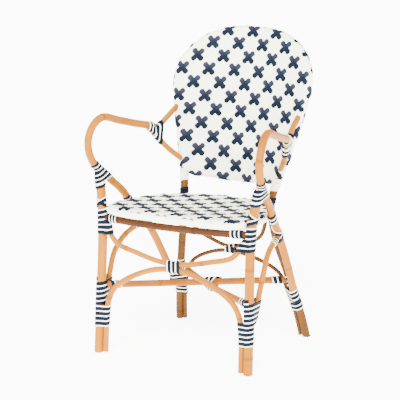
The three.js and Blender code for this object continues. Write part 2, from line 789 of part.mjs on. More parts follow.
function strap(name, pole, height, away, width, material) {
  const radius = pole.radius + bindingSpacing;
  const widen = 1 / Math.cos(strapArc / strapSteps / 2);
  const guide = alongHeight(pole);
  const rings = [];
  for (let i = 0; i <= strapSteps; i++) {
    const angle = strapArc * (i / strapSteps - 0.5);
    rings.push(strapCorners.map(([along, extra]) => {
      const { origin, normal } = guide(height + along * width);
      const across = squareTo(normal, away);
      const aside = new THREE.Vector3().crossVectors(normal, across);
      const reach = (radius + extra) * widen;
      origin.addScaledVector(across, reach * Math.cos(angle));
      return origin.addScaledVector(aside, reach * Math.sin(angle));
    }));
  }
  add(name, skin(rings, false), material);
}

// Visible bindings
const bracketApex = place(bracketApexShare);
const bracketAimShare = [0.674, 0.73, 0.655];
const bracketOpens = place(bracketAimShare).sub(bracketApex).normalize();
const bracketHalf = Math.floor(bracket.line.length / 2);
const bracketLimbs = [bracket.line.slice(0, bracketHalf + 1), bracket.line.slice(bracketHalf)];
const legTopShare = 0.538;
const armBendShare = 0.612;
const legTop = atHeight(leg, heightAt(legTopShare));
const armBend = atHeight(arm, heightAt(armBendShare));
const armBindingLength = legTop.distanceTo(armBend);
const armBindingFan = [
  { share: 0, normal: new THREE.Vector3(0.15, -0.05, 1) },
  { share: 0.3, normal: new THREE.Vector3(0.16, -0.33, 0.94) },
  { share: 1, normal: new THREE.Vector3(0.2, -0.6, 0.78) },
].map(({ share, normal }) => {
  const origin = legTop.clone().lerp(armBend, share);
  return { at: share * armBindingLength, origin, normal };
});

// How far into the bracket the rim of the arm's end reaches
const armEnd = arm.line[arm.line.length - 1];
const armEndSlant = tangentAt(arm.line, arm.line.length - 1).angleTo(bracketOpens);
const armEndReach = armEnd.clone().sub(bracketApex).dot(bracketOpens) + armRadius * Math.sin(armEndSlant);

// Where the parts of each strand begin and end: shares of the height or the arm's bend
const frontFootShares = [[0.091, 0.1625], [0.169, 0.1842], [0.1896, 0.2286]];
const upperArchBound = 30.8;
const upperArchOverrun = 4.3;
const railBoundBelow = 12.2;
const railBoundAbove = 9.8;
const rearFootShares = [[0.1018, 0.1311], [0.1376, 0.1744], [0.182, 0.2167]];
const armFrontShares = [[0.0427, 0.2136], [0.299, 0.669], [0.7546, 0.9967]];
const armEndPitch = 6.5;
const armEndOverlap = 3;
const bracketBoundFrom = 10.5;
const bracketPitch = 6.5;
const bracketLoops = 4;
const armTurnsTo = armEndReach - armEndOverlap;
const bracketBoundTo = bracketBoundFrom + bracketLoops * bracketPitch;
const archTieLength = 42;

function turns(shares, length, loops, poles) {
  return { from: shares[0] * length, to: shares[1] * length, loops, poles };
}

function turnsPast(height, below, above, loops, poles) {
  return { from: height - below, to: height + above, loops, poles };
}

function turnsUp(shares, loops, poles) {
  return { from: heightAt(shares[0]), to: heightAt(shares[1]), loops, poles };
}

for (const [side, sign] of sides) {
  const [legHere, armHere, hoopHere] = [leg, arm, hoop].map((pole) => handed(pole, sign));
  const [braceHere, upperHere, lowerHere] = [brace, upperArch, lowerArch].map((pole) => handed(pole, sign));
  const rearLowerHere = handed(rearLowerArch, sign);
  const limbs = bracketLimbs.map((line) => handed({ ...bracket, line }, sign));
  const fanHere = armBindingFan.map(({ at, origin, normal }) => {
    return { at, origin: swap(sign, origin), normal: swap(sign, normal) };
  });
  winding(`front_foot_binding_${side}`, {
    guide: alongHeight(legHere),
    start: swap(sign, new THREE.Vector3(1, -1, 0)),
    parts: [
      turnsUp(frontFootShares[0], 9, [legHere, lowerHere]),
      turnsUp(frontFootShares[1], 2, [legHere, braceHere]),
      turnsUp(frontFootShares[2], 5, [legHere]),
    ],
  }, navyStrand);
  winding(`front_upper_binding_${side}`, {
    guide: alongHeight(legHere),
    start: swap(sign, new THREE.Vector3(1, -1, 0)),
    parts: [
      turnsPast(upperArchTop, upperArchBound, upperArchOverrun, 5, [legHere, upperHere]),
      turnsPast(railHeight, railBoundBelow, railBoundAbove, 3, [legHere]),
    ],
  }, navyStrand);
  winding(`rear_foot_binding_${side}`, {
    guide: alongHeight(hoopHere),
    start: swap(sign, new THREE.Vector3(1, 1, 0)),
    parts: [
      turnsUp(rearFootShares[0], 4, [hoopHere, rearLowerHere]),
      turnsUp(rearFootShares[1], 5, [hoopHere, rearLowerHere, armHere]),
      turnsUp(rearFootShares[2], 5, [hoopHere]),
    ],
  }, navyStrand);
  winding(`arm_front_binding_${side}`, {
    guide: fanned(fanHere),
    start: swap(sign, new THREE.Vector3(0.3, -1, 0)),
    parts: [
      turns(armFrontShares[0], armBindingLength, 2, [legHere]),
      turns(armFrontShares[1], armBindingLength, 4, [legHere, armHere]),
      turns(armFrontShares[2], armBindingLength, 3, [armHere]),
    ],
  }, navyStrand);
  winding(`arm_rear_binding_${side}`, {
    guide: alongLine(swap(sign, bracketApex), swap(sign, bracketOpens)),
    start: upward,
    parts: [
      { from: armTurnsTo - armEndPitch, to: armTurnsTo, loops: 1, poles: [armHere] },
      { from: bracketBoundFrom, to: bracketBoundTo, loops: bracketLoops, poles: limbs },
    ],
  }, navyStrand);
}
winding('arch_tie', {
  guide: alongLine(new THREE.Vector3(0, archMeetY, archMeetHeight), alongX),
  start: backward,
  parts: [turns([-0.5, 0.5], archTieLength, 6, [upperArch, lowerArch])],
}, navyStrand);

// Smaller bindings
const railBindingFrom = 9;
const railBindingTo = 36;
const stretcherBindingLength = 30;
const braceBindingFrom = 11;
const braceBindingTo = 24;
const uprightWrapShares = [0.508, 0.532];
const seatBandWidth = 12;
const tieLength = 10;
const tieRows = 8;
const tieSlack = 0.4;
const rearTieLength = 30;
const strapWidth = 12;

for (const [side, sign] of sides) {
  const [legHere, armHere, hoopHere, braceHere] = [leg, arm, hoop, brace].map((pole) => handed(pole, sign));
  const railBinding = { guide: alongLine(swap(sign, railEnd), swap(sign, inward)), start: upward };
  sleeve(`rail_end_binding_${side}`, railBinding, [rail], railBindingFrom, railBindingTo, whiteWeave);
  const [braceNext, braceEnd] = braceHere.line.slice(-2);
  const braceBinding = { guide: alongLine(braceEnd, braceNext.clone().sub(braceEnd)), start: upward };
  const [braceFrom, braceTo] = [braceBindingFrom, braceBindingTo];
  sleeve(`brace_top_binding_${side}`, braceBinding, [braceHere], braceFrom, braceTo, navyStrand);
  const uprightBinding = { guide: alongHeight(hoopHere), start: backward };
  const [wrapFrom, wrapTo] = uprightWrapShares.map(heightAt);
  sleeve(`upright_wrap_${side}`, uprightBinding, [hoopHere], wrapFrom, wrapTo, whiteWeave);
  const bandFrom = seatRear.z + seatWrapRadius + poleSpacing;
  const bandTo = bandFrom + seatBandWidth;
  sleeve(`rear_corner_band_${side}`, uprightBinding, [hoopHere], bandFrom, bandTo, navyStrand);
  const cornerAway = swap(-sign, cornerDirection).setY(-cornerDirection.y);
  strap(`front_corner_strap_${side}`, legHere, seatCorner.z, cornerAway, strapWidth, navyStrand);
  strap(`seat_side_strap_${side}`, armHere, strapPoint.z, swap(sign, alongX), strapWidth, navyStrand);
}

function stretcherCollar(name, line, from) {
  const binding = { guide: alongLine(line[0], line[1].clone().sub(line[0])), start: upward };
  const pole = { line, radius: stretcherRadius };
  sleeve(name, binding, [pole], from, from + stretcherBindingLength, navyStrand);
}

const rearCollarFrom = 11;
stretcherCollar('stretcher_binding_front_right', straightStretcher.line, endSpacing);
stretcherCollar('stretcher_binding_rear_left', [...straightStretcher.line].reverse(), rearCollarFrom);
stretcherCollar('stretcher_binding_front_left', sprungStretcher.line, endSpacing);
stretcherCollar('stretcher_binding_rear_right', [...sprungStretcher.line].reverse(), rearCollarFrom);

const rearTie = { guide: alongLine(rearMeet, alongX), start: backward };
const rearTied = [rearUpperArch, rearLowerArch];
sleeve('rear_arch_tie', rearTie, rearTied, -rearTieLength / 2, rearTieLength / 2, navyStrand, 2);

const crossing = section(straightStretcher, new THREE.Vector3(), alongX).point;
const crossTie = { guide: alongLine(crossing, alongX), start: backward };
const crossingPoles = [straightStretcher, sprungStretcher].map((pole) => {
  return { ...pole, radius: pole.radius + tieSlack };
});
sleeve('stretcher_tie', crossTie, crossingPoles, -tieLength / 2, tieLength / 2, navyStrand, tieRows);

// Glides under the four feet
for (const [side, sign] of sides) {
  for (const [end, pole] of [['front', leg], ['rear', hoop]]) {
    const foot = atHeight(pole, sawnHeight);
    const glide = new THREE.CylinderGeometry(glideRadius, glideRadius, glideHeight, glideSides);
    glide.rotateX(Math.PI / 2);
    glide.translate(foot.x * sign, foot.y, glideHeight / 2);
    add(`${end}_glide_${side}`, glide, glidePlastic);
  }
}

// The origin lies on the floor under the middle of the chair
const extent = new THREE.Box3().setFromObject(chair);
const middle = extent.getCenter(new THREE.Vector3());
for (const mesh of chair.children) mesh.geometry.translate(-middle.x, -middle.y, -extent.min.z);
console.log(`origin moved back by ${middle.y.toFixed(2)} mm`);

export default chair;
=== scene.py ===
# Rattan bistro armchair of varnished cane poles, with two-coloured bindings and a woven seat and back.
# Sizes are in millimetres, in the maker's own frame; every mesh is made in metres in the model's frame.
import math

import bpy
import numpy as np
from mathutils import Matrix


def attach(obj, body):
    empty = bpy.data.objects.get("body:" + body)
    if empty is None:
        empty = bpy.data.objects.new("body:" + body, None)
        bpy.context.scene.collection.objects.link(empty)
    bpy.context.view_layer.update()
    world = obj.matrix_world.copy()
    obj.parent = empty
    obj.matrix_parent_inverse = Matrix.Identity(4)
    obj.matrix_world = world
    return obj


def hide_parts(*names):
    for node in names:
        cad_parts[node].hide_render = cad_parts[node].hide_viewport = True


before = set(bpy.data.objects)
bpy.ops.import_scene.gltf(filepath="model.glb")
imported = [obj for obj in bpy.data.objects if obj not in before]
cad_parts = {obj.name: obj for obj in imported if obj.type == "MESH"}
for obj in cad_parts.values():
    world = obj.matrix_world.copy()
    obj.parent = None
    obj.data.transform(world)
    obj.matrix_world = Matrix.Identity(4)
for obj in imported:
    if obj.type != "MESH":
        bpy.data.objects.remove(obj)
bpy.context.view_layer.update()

METRE = 0.001
ORIGIN_BACK = 258.05

# Overall places of the pole centrelines
HALF_WIDTH = 284
FRAME_DEPTH = 529
HOOP_HEIGHT = 923
FRAME_SIZE = np.array([HALF_WIDTH, FRAME_DEPTH, HOOP_HEIGHT], float)

# Poles, by radius
LEG_RADIUS = 14
HOOP_RADIUS = 12
ARM_RADIUS = 11.5
BRACKET_RADIUS = 8.5
RAIL_RADIUS = 10.5
SEAT_HOOP_RADIUS = 10.5
UPPER_ARCH_RADIUS = 8
LOWER_ARCH_RADIUS = 8.5
BRACE_RADIUS = 8.5
STRETCHER_RADIUS = 10.2
REAR_ARCH_RADIUS = 6.2
BACK_BAR_RADIUS = 8
FOOT_HEIGHT = 3.3

# Clearances
TOUCH_GAP = 0.3
POLE_SPACING = 0.6
STRAND_REACH = 4.35

# Weave
WEAVE_THICKNESS = 3
SEAT_HEIGHT = 455
SEAT_SLOPE = 0.05
SEAT_SAG = 5
SAG_REACH = 110
SEAT_WRAP = SEAT_HOOP_RADIUS + TOUCH_GAP + WEAVE_THICKNESS
BACK_WRAP = HOOP_RADIUS + TOUCH_GAP + WEAVE_THICKNESS
BAR_WRAP = BACK_BAR_RADIUS + TOUCH_GAP + WEAVE_THICKNESS
STRANDS_PER_STEP = 7

X = np.array([1.0, 0, 0])
Y = np.array([0, 1.0, 0])
Z = np.array([0, 0, 1.0])
INWARD = -X
SIDES = (("left", 1), ("right", -1))


# Points and lines

def unit(vector):
    vector = np.asarray(vector, float)
    return vector / np.linalg.norm(vector, axis=-1, keepdims=True)


def place(shares):
    return np.array(shares, float) * FRAME_SIZE


def beside(point, direction, distance):
    return np.asarray(point, float) + unit(direction) * distance


def mirrored(points):
    return np.array(points, float) * (-1, 1, 1)


def both_halves(points):
    return [*points, *mirrored(points[:-1])[::-1]]


def on_side(sign, points):
    """The points of the left side, for that side or mirrored for the right one."""
    return np.array(points, float) * (sign, 1, 1)


def lengths_along(line):
    return np.append(0, np.cumsum(np.linalg.norm(np.diff(line, axis=0), axis=1)))


def bend(points, closed=False, step=4.0):
    """Evenly spaced points along a smooth curve through the given points."""
    p = np.array(points, float)
    if closed:
        before, start, end, after = np.roll(p, 1, 0), p, np.roll(p, -1, 0), np.roll(p, -2, 0)
    else:
        ends = np.vstack([2 * p[0] - p[1], p, 2 * p[-1] - p[-2]])
        before, start, end, after = ends[:-3], ends[1:-2], ends[2:-1], ends[3:]
    share = np.linspace(0, 1, 24, endpoint=False)[None, :, None]
    a, b, c, d = (q[:, None, :] for q in (before, start, end, after))
    leave, arrive = (c - a) / 2, (d - b) / 2
    cubic = 2 * b - 2 * c + leave + arrive
    square = 3 * c - 3 * b - 2 * leave - arrive
    line = (((cubic * share + square) * share + leave) * share + b).reshape(-1, 3)
    line = np.vstack([line, p[0] if closed else p[-1]])
    along = lengths_along(line)
    count = max(2, int(round(along[-1] / step)))
    places = np.linspace(0, along[-1], count + 1)
    line = np.stack([np.interp(places, along, line[:, k]) for k in range(3)], 1)
    return line[:-1] if closed else line


def at_height(line, height):
    """The first point, from the foot, where a line reaches a height."""
    rise = line[:, 2] - height
    crossing = np.nonzero(rise[:-1] * rise[1:] <= 0)[0]
    if not len(crossing):
        return line[-1]
    i = crossing[0]
    share = rise[i] / (rise[i] - rise[i + 1])
    return line[i] + (line[i + 1] - line[i]) * share


# The routes of the poles

def from_foot(shares):
    points = [place(p) for p in shares]
    return [beside(points[0], points[0] - points[1], 12), *points]


LEG = bend(from_foot([
    (0.887, 0, 0), (0.879, 0.017, 0.173), (0.87, 0.034, 0.347),
    (0.877, 0.045, 0.466), (0.923, 0.062, 0.563), (0.934, 0.066, 0.58),
]))
HOOP = bend(both_halves(from_foot([
    (0.785, 0.847, 0), (0.739, 0.802, 0.101), (0.634, 0.72, 0.255), (0.574, 0.679, 0.336),
    (0.535, 0.656, 0.417), (0.528, 0.654, 0.477), (0.577, 0.701, 0.563), (0.665, 0.752, 0.672),
    (0.746, 0.798, 0.78), (0.771, 0.828, 0.84), (0.754, 0.858, 0.884), (0.676, 0.897, 0.926),
    (0.535, 0.941, 0.964), (0.338, 0.977, 0.99), (0, 1, 1),
])))


def hoop_at(share):
    return at_height(HOOP, share * HOOP_HEIGHT)


def seat_hoop_height(y):
    return SEAT_HEIGHT - SEAT_WRAP - y * SEAT_SLOPE


SEAT_CORNER = at_height(LEG, seat_hoop_height(0))
SEAT_REAR = at_height(HOOP, seat_hoop_height(0.65 * FRAME_DEPTH))
CORNER_DIRECTION = np.array([-0.95, 0.3, 0])
REAR_DIRECTION = np.array([-0.3, -0.95, 0])


def seat_half():
    """The left half of the seat hoop, from the middle of the front to the middle of the back."""
    front = [(0, -0.025, 0), (0.352, -0.023, 0), (0.592, -0.008, 0), (0.729, 0.026, 0)]
    side = [(0.788, 0.151, 0), (0.782, 0.246, 0), (0.759, 0.325, 0), (0.715, 0.425, 0), (0.634, 0.52, 0)]
    back = [(0.335, 0.648, 0), (0.158, 0.669, 0), (0, 0.675, 0)]
    half = [
        *map(place, front),
        beside(SEAT_CORNER, CORNER_DIRECTION, LEG_RADIUS + SEAT_WRAP + POLE_SPACING),
        *map(place, side),
        beside(SEAT_REAR, REAR_DIRECTION, HOOP_RADIUS + SEAT_WRAP + POLE_SPACING),
        *map(place, back),
    ]
    for p in half:
        p[2] = seat_hoop_height(p[1])
    return half


SEAT_HALF = seat_half()
STRAP_POINT = SEAT_HALF[7]


def seat_ring(step):
    return bend([*SEAT_HALF, *mirrored(SEAT_HALF[1:-1])[::-1]], closed=True, step=step)


def arm_route():
    reach = HOOP_RADIUS + ARM_RADIUS + 2 * POLE_SPACING
    foot = [beside(hoop_at(up), (0.48, -0.88, 0), reach) for up in (0.139, 0.17)]
    lower = [(0.754, 0.68, 0.21), (0.782, 0.554, 0.321), (0.813, 0.42, 0.42)]
    side = STRAP_POINT + X * (SEAT_WRAP + ARM_RADIUS + POLE_SPACING)
    upper = [
        (0.877, 0.259, 0.514), (0.926, 0.127, 0.575), (0.982, 0.034, 0.628), (1, 0.004, 0.689),
        (0.993, 0.049, 0.74), (0.965, 0.136, 0.763), (0.93, 0.267, 0.743), (0.887, 0.4, 0.7215),
        (0.835, 0.511, 0.7055), (0.8145, 0.544, 0.6997),
    ]
    return bend([*foot, *map(place, lower), side, *map(place, upper)])


ARM = arm_route()

# The bracket's tip, the way it opens from there, and how far its ends stand off the hoop's middle line
BRACKET_TIP = place((0.793, 0.558, 0.68))
BRACKET_OPENS = place((0.674, 0.73, 0.655)) - BRACKET_TIP
BRACKET_END = 11
BRACKET = bend([
    beside(hoop_at(0.58), (0.35, -0.9, 0.2), BRACKET_END),
    *map(place, [(0.694, 0.631, 0.618), (0.761, 0.58, 0.655)]),
    BRACKET_TIP,
    *map(place, [(0.781, 0.592, 0.695), (0.75, 0.674, 0.7235)]),
    beside(hoop_at(0.752), (0.15, -0.98, -0.2), BRACKET_END),
])

RAIL_DROP = 3.65
RAIL_HEIGHT = seat_hoop_height(0) - SEAT_WRAP - RAIL_RADIUS - RAIL_DROP
RAIL_BOW = 30
RAIL_END = beside(at_height(LEG, RAIL_HEIGHT), INWARD, LEG_RADIUS)
RAIL = bend(both_halves([
    RAIL_END,
    (RAIL_END[0] * 0.6, RAIL_END[1] - RAIL_BOW * 0.72, RAIL_HEIGHT),
    (0, RAIL_END[1] - RAIL_BOW, RAIL_HEIGHT),
]))

ARCH_MEET = np.array([0, 2, 294])
ARCH_FOOT = 6


def against_leg(height, direction, radius):
    return beside(at_height(LEG, height), direction, LEG_RADIUS + radius + POLE_SPACING)


UPPER_ARCH = bend(both_halves([
    against_leg(RAIL_HEIGHT - RAIL_RADIUS - 1.5 * UPPER_ARCH_RADIUS, INWARD, UPPER_ARCH_RADIUS),
    *map(place, [(0.764, 0.026, 0.4), (0.655, 0.021, 0.367), (0.437, 0.014, 0.349), (0.215, 0.007, 0.334)]),
    ARCH_MEET + Z * (UPPER_ARCH_RADIUS + POLE_SPACING),
]))
LOWER_ARCH = bend(both_halves([
    *(against_leg(height, INWARD, LOWER_ARCH_RADIUS)
      for height in (ARCH_FOOT, 0.06 * HOOP_HEIGHT, 0.13 * HOOP_HEIGHT)),
    *map(place, [(0.764, 0.013, 0.188), (0.669, 0.013, 0.232), (0.454, 0.011, 0.274), (0.211, 0.007, 0.302)]),
    ARCH_MEET - Z * LOWER_ARCH_RADIUS,
]))
BRACE_SUNK = 3
BRACE = bend([
    against_leg(0.163 * HOOP_HEIGHT, Y, BRACE_RADIUS),
    *map(place, [(0.884, 0.0945, 0.198), (0.891, 0.133, 0.258)]),
    *map(place, [(0.889, 0.186, 0.318), (0.854, 0.276, 0.364)]),
    beside(at_height(ARM, 0.4 * HOOP_HEIGHT), (0, -0.79, -0.61), ARM_RADIUS - BRACE_SUNK),
])

REAR_MEET = place((0, 0.686, 0.295))
REAR_INSET = HOOP_RADIUS + REAR_ARCH_RADIUS + 2 * POLE_SPACING
REAR_UPPER = bend(both_halves([
    *(beside(hoop_at(up), INWARD, REAR_INSET) for up in (0.436, 0.42)),
    *map(place, [(0.394, 0.665, 0.355), (0.194, 0.677, 0.32)]),
    REAR_MEET + Z * (REAR_ARCH_RADIUS + POLE_SPACING),
]))
REAR_LOWER = bend(both_halves([
    *(beside(hoop_at(up), INWARD, REAR_INSET) for up in (ARCH_FOOT / HOOP_HEIGHT, 0.055, 0.1, 0.15)),
    *map(place, [(0.528, 0.752, 0.225), (0.282, 0.715, 0.269)]),
    REAR_MEET - Z * REAR_ARCH_RADIUS,
]))


STRETCHER_CLEAR = 0.4
STRETCHER_SPRING = 11


def stretcher_route(drop):
    front = mirrored(at_height(LEG, 0.225 * HOOP_HEIGHT))
    rear = hoop_at(0.206)
    along = rear - front
    start = beside(front, along, LEG_RADIUS + STRAND_REACH + STRETCHER_CLEAR)
    end = beside(front, along, np.linalg.norm(along) - HOOP_RADIUS)
    middle = front + along * (front[0] / (front[0] - rear[0])) - Z * drop
    return bend([start, middle, end])


STRAIGHT_STRETCHER = stretcher_route(0)
SPRUNG_STRETCHER = mirrored(stretcher_route(STRETCHER_SPRING))

# The middle line of the back's front face, as depth and height, from under the bar to over the hoop
BACK_PROFILE = bend([(0, depth * FRAME_DEPTH, up * HOOP_HEIGHT) for depth, up in [
    (0.756, 0.5), (0.756, 0.54), (0.756, 0.569), (0.758, 0.614), (0.78, 0.658), (0.797, 0.702),
    (0.814, 0.749), (0.844, 0.792), (0.865, 0.837), (0.889, 0.879), (0.911, 0.921), (0.939, 0.961),
    (0.968, 1.002), (1, 1.05),
]])
BACK_LENGTHS = lengths_along(BACK_PROFILE)
BACK_BOW = 0.26 / HALF_WIDTH
BACK_LEAN = 0.42


def back_length(height):
    """How far along the back's profile a height lies."""
    return np.interp(height, BACK_PROFILE[:, 2], BACK_LENGTHS)


def back_face(points):
    """The way the cloth of the back faces at points of its rim: it leans back more toward the top."""
    up = np.clip((points[:, 2] / HOOP_HEIGHT - 0.55) / 0.45, 0, 1)
    return unit(np.stack([-2 * BACK_BOW * points[:, 0], -np.ones(len(points)), BACK_LEAN * up], 1))


BAR_END = hoop_at(0.545)
BAR_DROP = 17
BAR_SUNK = 3
BAR_BULGE = np.array([0, 5, -2])


def back_bar_route():
    height = BAR_END[2] - BAR_DROP
    depth = np.interp(height, BACK_PROFILE[:, 2], BACK_PROFILE[:, 1])
    middle = np.array([0, depth + BAR_WRAP, height])
    return bend(both_halves([
        beside(BAR_END, INWARD, HOOP_RADIUS - BAR_SUNK),
        BAR_END + (middle - BAR_END) * 0.33 + BAR_BULGE,
        BAR_END + (middle - BAR_END) * 0.66 + BAR_BULGE,
        middle,
    ]))


BACK_BAR = back_bar_route()


# Meshes

def metres(points):
    return (np.asarray(points, float) - (0, ORIGIN_BACK, 0)) * METRE


def table(first, second):
    """Every value of the first with every value of the second, row after row."""
    return np.stack(np.meshgrid(first, second, indexing="ij"), 2).reshape(-1, 2)


def squares(grid):
    """The four-sided faces between the points that a grid of numbers names."""
    return np.stack([grid[:-1, :-1], grid[1:, :-1], grid[1:, 1:], grid[:-1, 1:]], 2).reshape(-1, 4)


def new_piece(name, vertices, faces, materials, colours=None, uv=None):
    """A mesh object from points in millimetres. Colours are each face's material, uv each vertex's place."""
    mesh = bpy.data.meshes.new(name)
    mesh.from_pydata(metres(vertices).tolist(), [], [list(map(int, f)) for f in faces])
    for material in materials:
        mesh.materials.append(material)
    if colours is not None:
        mesh.polygons.foreach_set("material_index", np.asarray(colours, np.int32))
    mesh.polygons.foreach_set("use_smooth", [True] * len(mesh.polygons))
    if uv is not None:
        corners = np.zeros(len(mesh.loops), np.int32)
        mesh.loops.foreach_get("vertex_index", corners)
        layer = mesh.uv_layers.new(name="UVMap")
        layer.data.foreach_set("uv", np.asarray(uv, float)[corners].astype(np.float32).ravel())
    mesh.update()
    piece = bpy.data.objects.new(name, mesh)
    bpy.context.scene.collection.objects.link(piece)
    return piece


def hand_over(piece, slot, *nodes):
    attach(piece, "root")
    if nodes:
        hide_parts(*nodes)
    return piece


# Materials

class Shader:
    """A material with its shader, and short ways to add and join nodes."""

    def __init__(self, name, **settings):
        self.material = bpy.data.materials.new(name)
        self.material.use_nodes = True
        self.tree = self.material.node_tree
        self.surface = self.tree.nodes["Principled BSDF"]
        for key, value in settings.items():
            self.surface.inputs[key.replace("_", " ")].default_value = value

    def node(self, kind, inputs=None, **options):
        node = self.tree.nodes.new("ShaderNode" + kind)
        for key, value in options.items():
            setattr(node, key, value)
        for key, value in (inputs or {}).items():
            self.join(value, node.inputs[key])
        return node

    def join(self, value, socket):
        if isinstance(value, bpy.types.NodeSocket):
            self.tree.links.new(value, socket)
        else:
            socket.default_value = value

    def maths(self, operation, *values, clamp=False):
        node = self.node("Math", operation=operation, use_clamp=clamp)
        for value, socket in zip(values, node.inputs):
            self.join(value, socket)
        return node.outputs[0]

    def between(self, low, high, share):
        node = self.node("Mix", data_type="RGBA")
        self.join(share, node.inputs[0])
        self.join(low, node.inputs[6])
        self.join(high, node.inputs[7])
        return node.outputs[2]

    def noise(self, vector, scale, detail=3.0):
        return self.node("TexNoise", {"Vector": vector, "Scale": scale, "Detail": detail}).outputs["Fac"]

    def ramp(self, share, low, high):
        node = self.node("MapRange", {"Value": share, "From Min": low, "From Max": high})
        return node.outputs[0]

    def bump(self, height, strength, distance):
        node = self.node("Bump", {"Height": height, "Strength": strength, "Distance": distance})
        self.join(node.outputs[0], self.surface.inputs["Normal"])

    def colour(self, socket):
        self.join(socket, self.surface.inputs["Base Color"])


# The stretch and weight of the cane's streaks, the strength of a ring's tone, and the span and strength of
# the painted sheen on the crosses' strands
STREAK_STRETCH = 2.2
STREAK_SHARE = 0.65
RING_TONE = 0.55
SHEEN_FROM, SHEEN_TO, SHEEN_SHARE = -0.01, 0.075, 0.85


def cane(name, light, dark, ring):
    """Varnished rattan: long streaks, a darker growth ring now and then, and a soft shine."""
    shader = Shader(name, Roughness=0.42, Specular_IOR_Level=0.03, Coat_Weight=0.02, Coat_Roughness=0.2)
    along = shader.node("Attribute", attribute_name="along").outputs["Fac"]
    growth = shader.node("Attribute", attribute_name="growth").outputs["Fac"]
    around = shader.node("Attribute", attribute_name="around").outputs["Vector"]
    spot = shader.node("SeparateXYZ", {0: around})
    lengthwise = shader.maths("MULTIPLY", along, STREAK_STRETCH)
    streaks_at = shader.node("CombineXYZ", {0: spot.outputs[0], 1: spot.outputs[1], 2: lengthwise})
    streaks = shader.noise(streaks_at.outputs[0], 5.0, 5.0)
    patches_at = shader.node("TexCoord").outputs["Object"]
    patches = shader.noise(patches_at, 9.0, 2.0)
    streak_part = shader.maths("MULTIPLY", streaks, STREAK_SHARE)
    patch_part = shader.maths("MULTIPLY", patches, 1 - STREAK_SHARE)
    mixed = shader.maths("ADD", streak_part, patch_part)
    wood = shader.between(light, dark, shader.ramp(mixed, 0.36, 0.66))
    shader.colour(shader.between(wood, ring, shader.maths("MULTIPLY", growth, RING_TONE)))
    shader.bump(shader.maths("ADD", streaks, growth), 0.25, 0.0012)
    return shader.material


def strand(name, light, dark, roughness, shine, painted_sheen=None):
    """Flat moulded strand with fine lines and slight changes of tone, and for the crosses a painted sheen
    that lightens one half of each strand.
    """
    shader = Shader(name, Roughness=roughness, Specular_IOR_Level=shine)
    where = shader.node("TexCoord")
    tone = shader.noise(where.outputs["Object"], 60.0, 3.0)
    lines = shader.noise(where.outputs["UV"], 900.0, 2.0)
    colour = shader.between(light, dark, shader.ramp(tone, 0.35, 0.68))
    if painted_sheen:
        # Painted sheen: from near the middle of each strand toward one end, its colour is mixed toward a
        # lighter one.
        along = shader.node("SeparateXYZ", {0: where.outputs["UV"]}).outputs[0]
        sheen_mix = shader.maths("MULTIPLY", shader.ramp(along, SHEEN_FROM, SHEEN_TO), SHEEN_SHARE)
        colour = shader.between(colour, painted_sheen, sheen_mix)
    shader.colour(colour)
    shader.bump(lines, 0.3, 0.0006)
    return shader.material


def ground_weave(name, light, groove, fleck, hole_shade):
    """Off-white plain weave, on a map whose unit is the pitch of the crosses.
    Each strand has its lines, and a dark dot of painted shade marks a small opening where the arms of two
    crosses meet."""
    shader = Shader(name, Roughness=0.6, Specular_IOR_Level=0.2)
    flat = shader.node("TexCoord").outputs["UV"]
    spot = shader.node("SeparateXYZ", {0: flat})
    u, v = spot.outputs[0], spot.outputs[1]
    rise = shader.maths("MULTIPLY", shader.maths("ADD", u, v), 0.5)
    fall = shader.maths("MULTIPLY", shader.maths("SUBTRACT", u, v), 0.5)
    off_rise = shader.maths("PINGPONG", shader.maths("ADD", rise, 0.5), 0.5)
    off_fall = shader.maths("PINGPONG", fall, 0.5)
    away = shader.maths("SQRT", shader.maths("ADD", shader.maths("POWER", off_rise, 2.0),
                                             shader.maths("POWER", off_fall, 2.0)))
    # The mask of the painted shade for the small openings between the crosses.
    dot = shader.maths("SUBTRACT", 1.0, shader.ramp(away, 0.02, 0.05))
    parity = shader.node("TexChecker", {"Vector": flat, "Scale": float(STRANDS_PER_STEP)}).outputs["Fac"]
    upright = shader.node("CombineXYZ", {0: shader.maths("MULTIPLY", u, 9.0), 1: v}).outputs[0]
    level = shader.node("CombineXYZ", {0: u, 1: shader.maths("MULTIPLY", v, 9.0)}).outputs[0]
    fibres = shader.node("Mix", {0: parity, 2: shader.noise(upright, 7.0), 3: shader.noise(level, 7.0)})
    tone = shader.noise(flat, 10.0, 3.0)
    white = shader.between(light, groove, shader.ramp(tone, 0.42, 0.8))
    specks = shader.maths("MULTIPLY", shader.ramp(shader.noise(flat, 34.0, 2.0), 0.6, 0.7), 0.3)
    flecked = shader.between(white, fleck, specks)
    shader.colour(shader.between(flecked, hole_shade, shader.maths("MULTIPLY", dot, 0.8)))
    shader.bump(fibres.outputs[0], 0.5, 0.0012)
    return shader.material


def moulded(name, tone, roughness):
    """Plain moulded plastic with a slight grain."""
    shader = Shader(name, Roughness=roughness)
    grain = shader.noise(shader.node("TexCoord").outputs["Object"], 400.0, 4.0)
    shader.colour(shader.between(tone, tuple(0.7 * c for c in tone[:3]) + (1,), grain))
    shader.bump(grain, 0.2, 0.0005)
    return shader.material


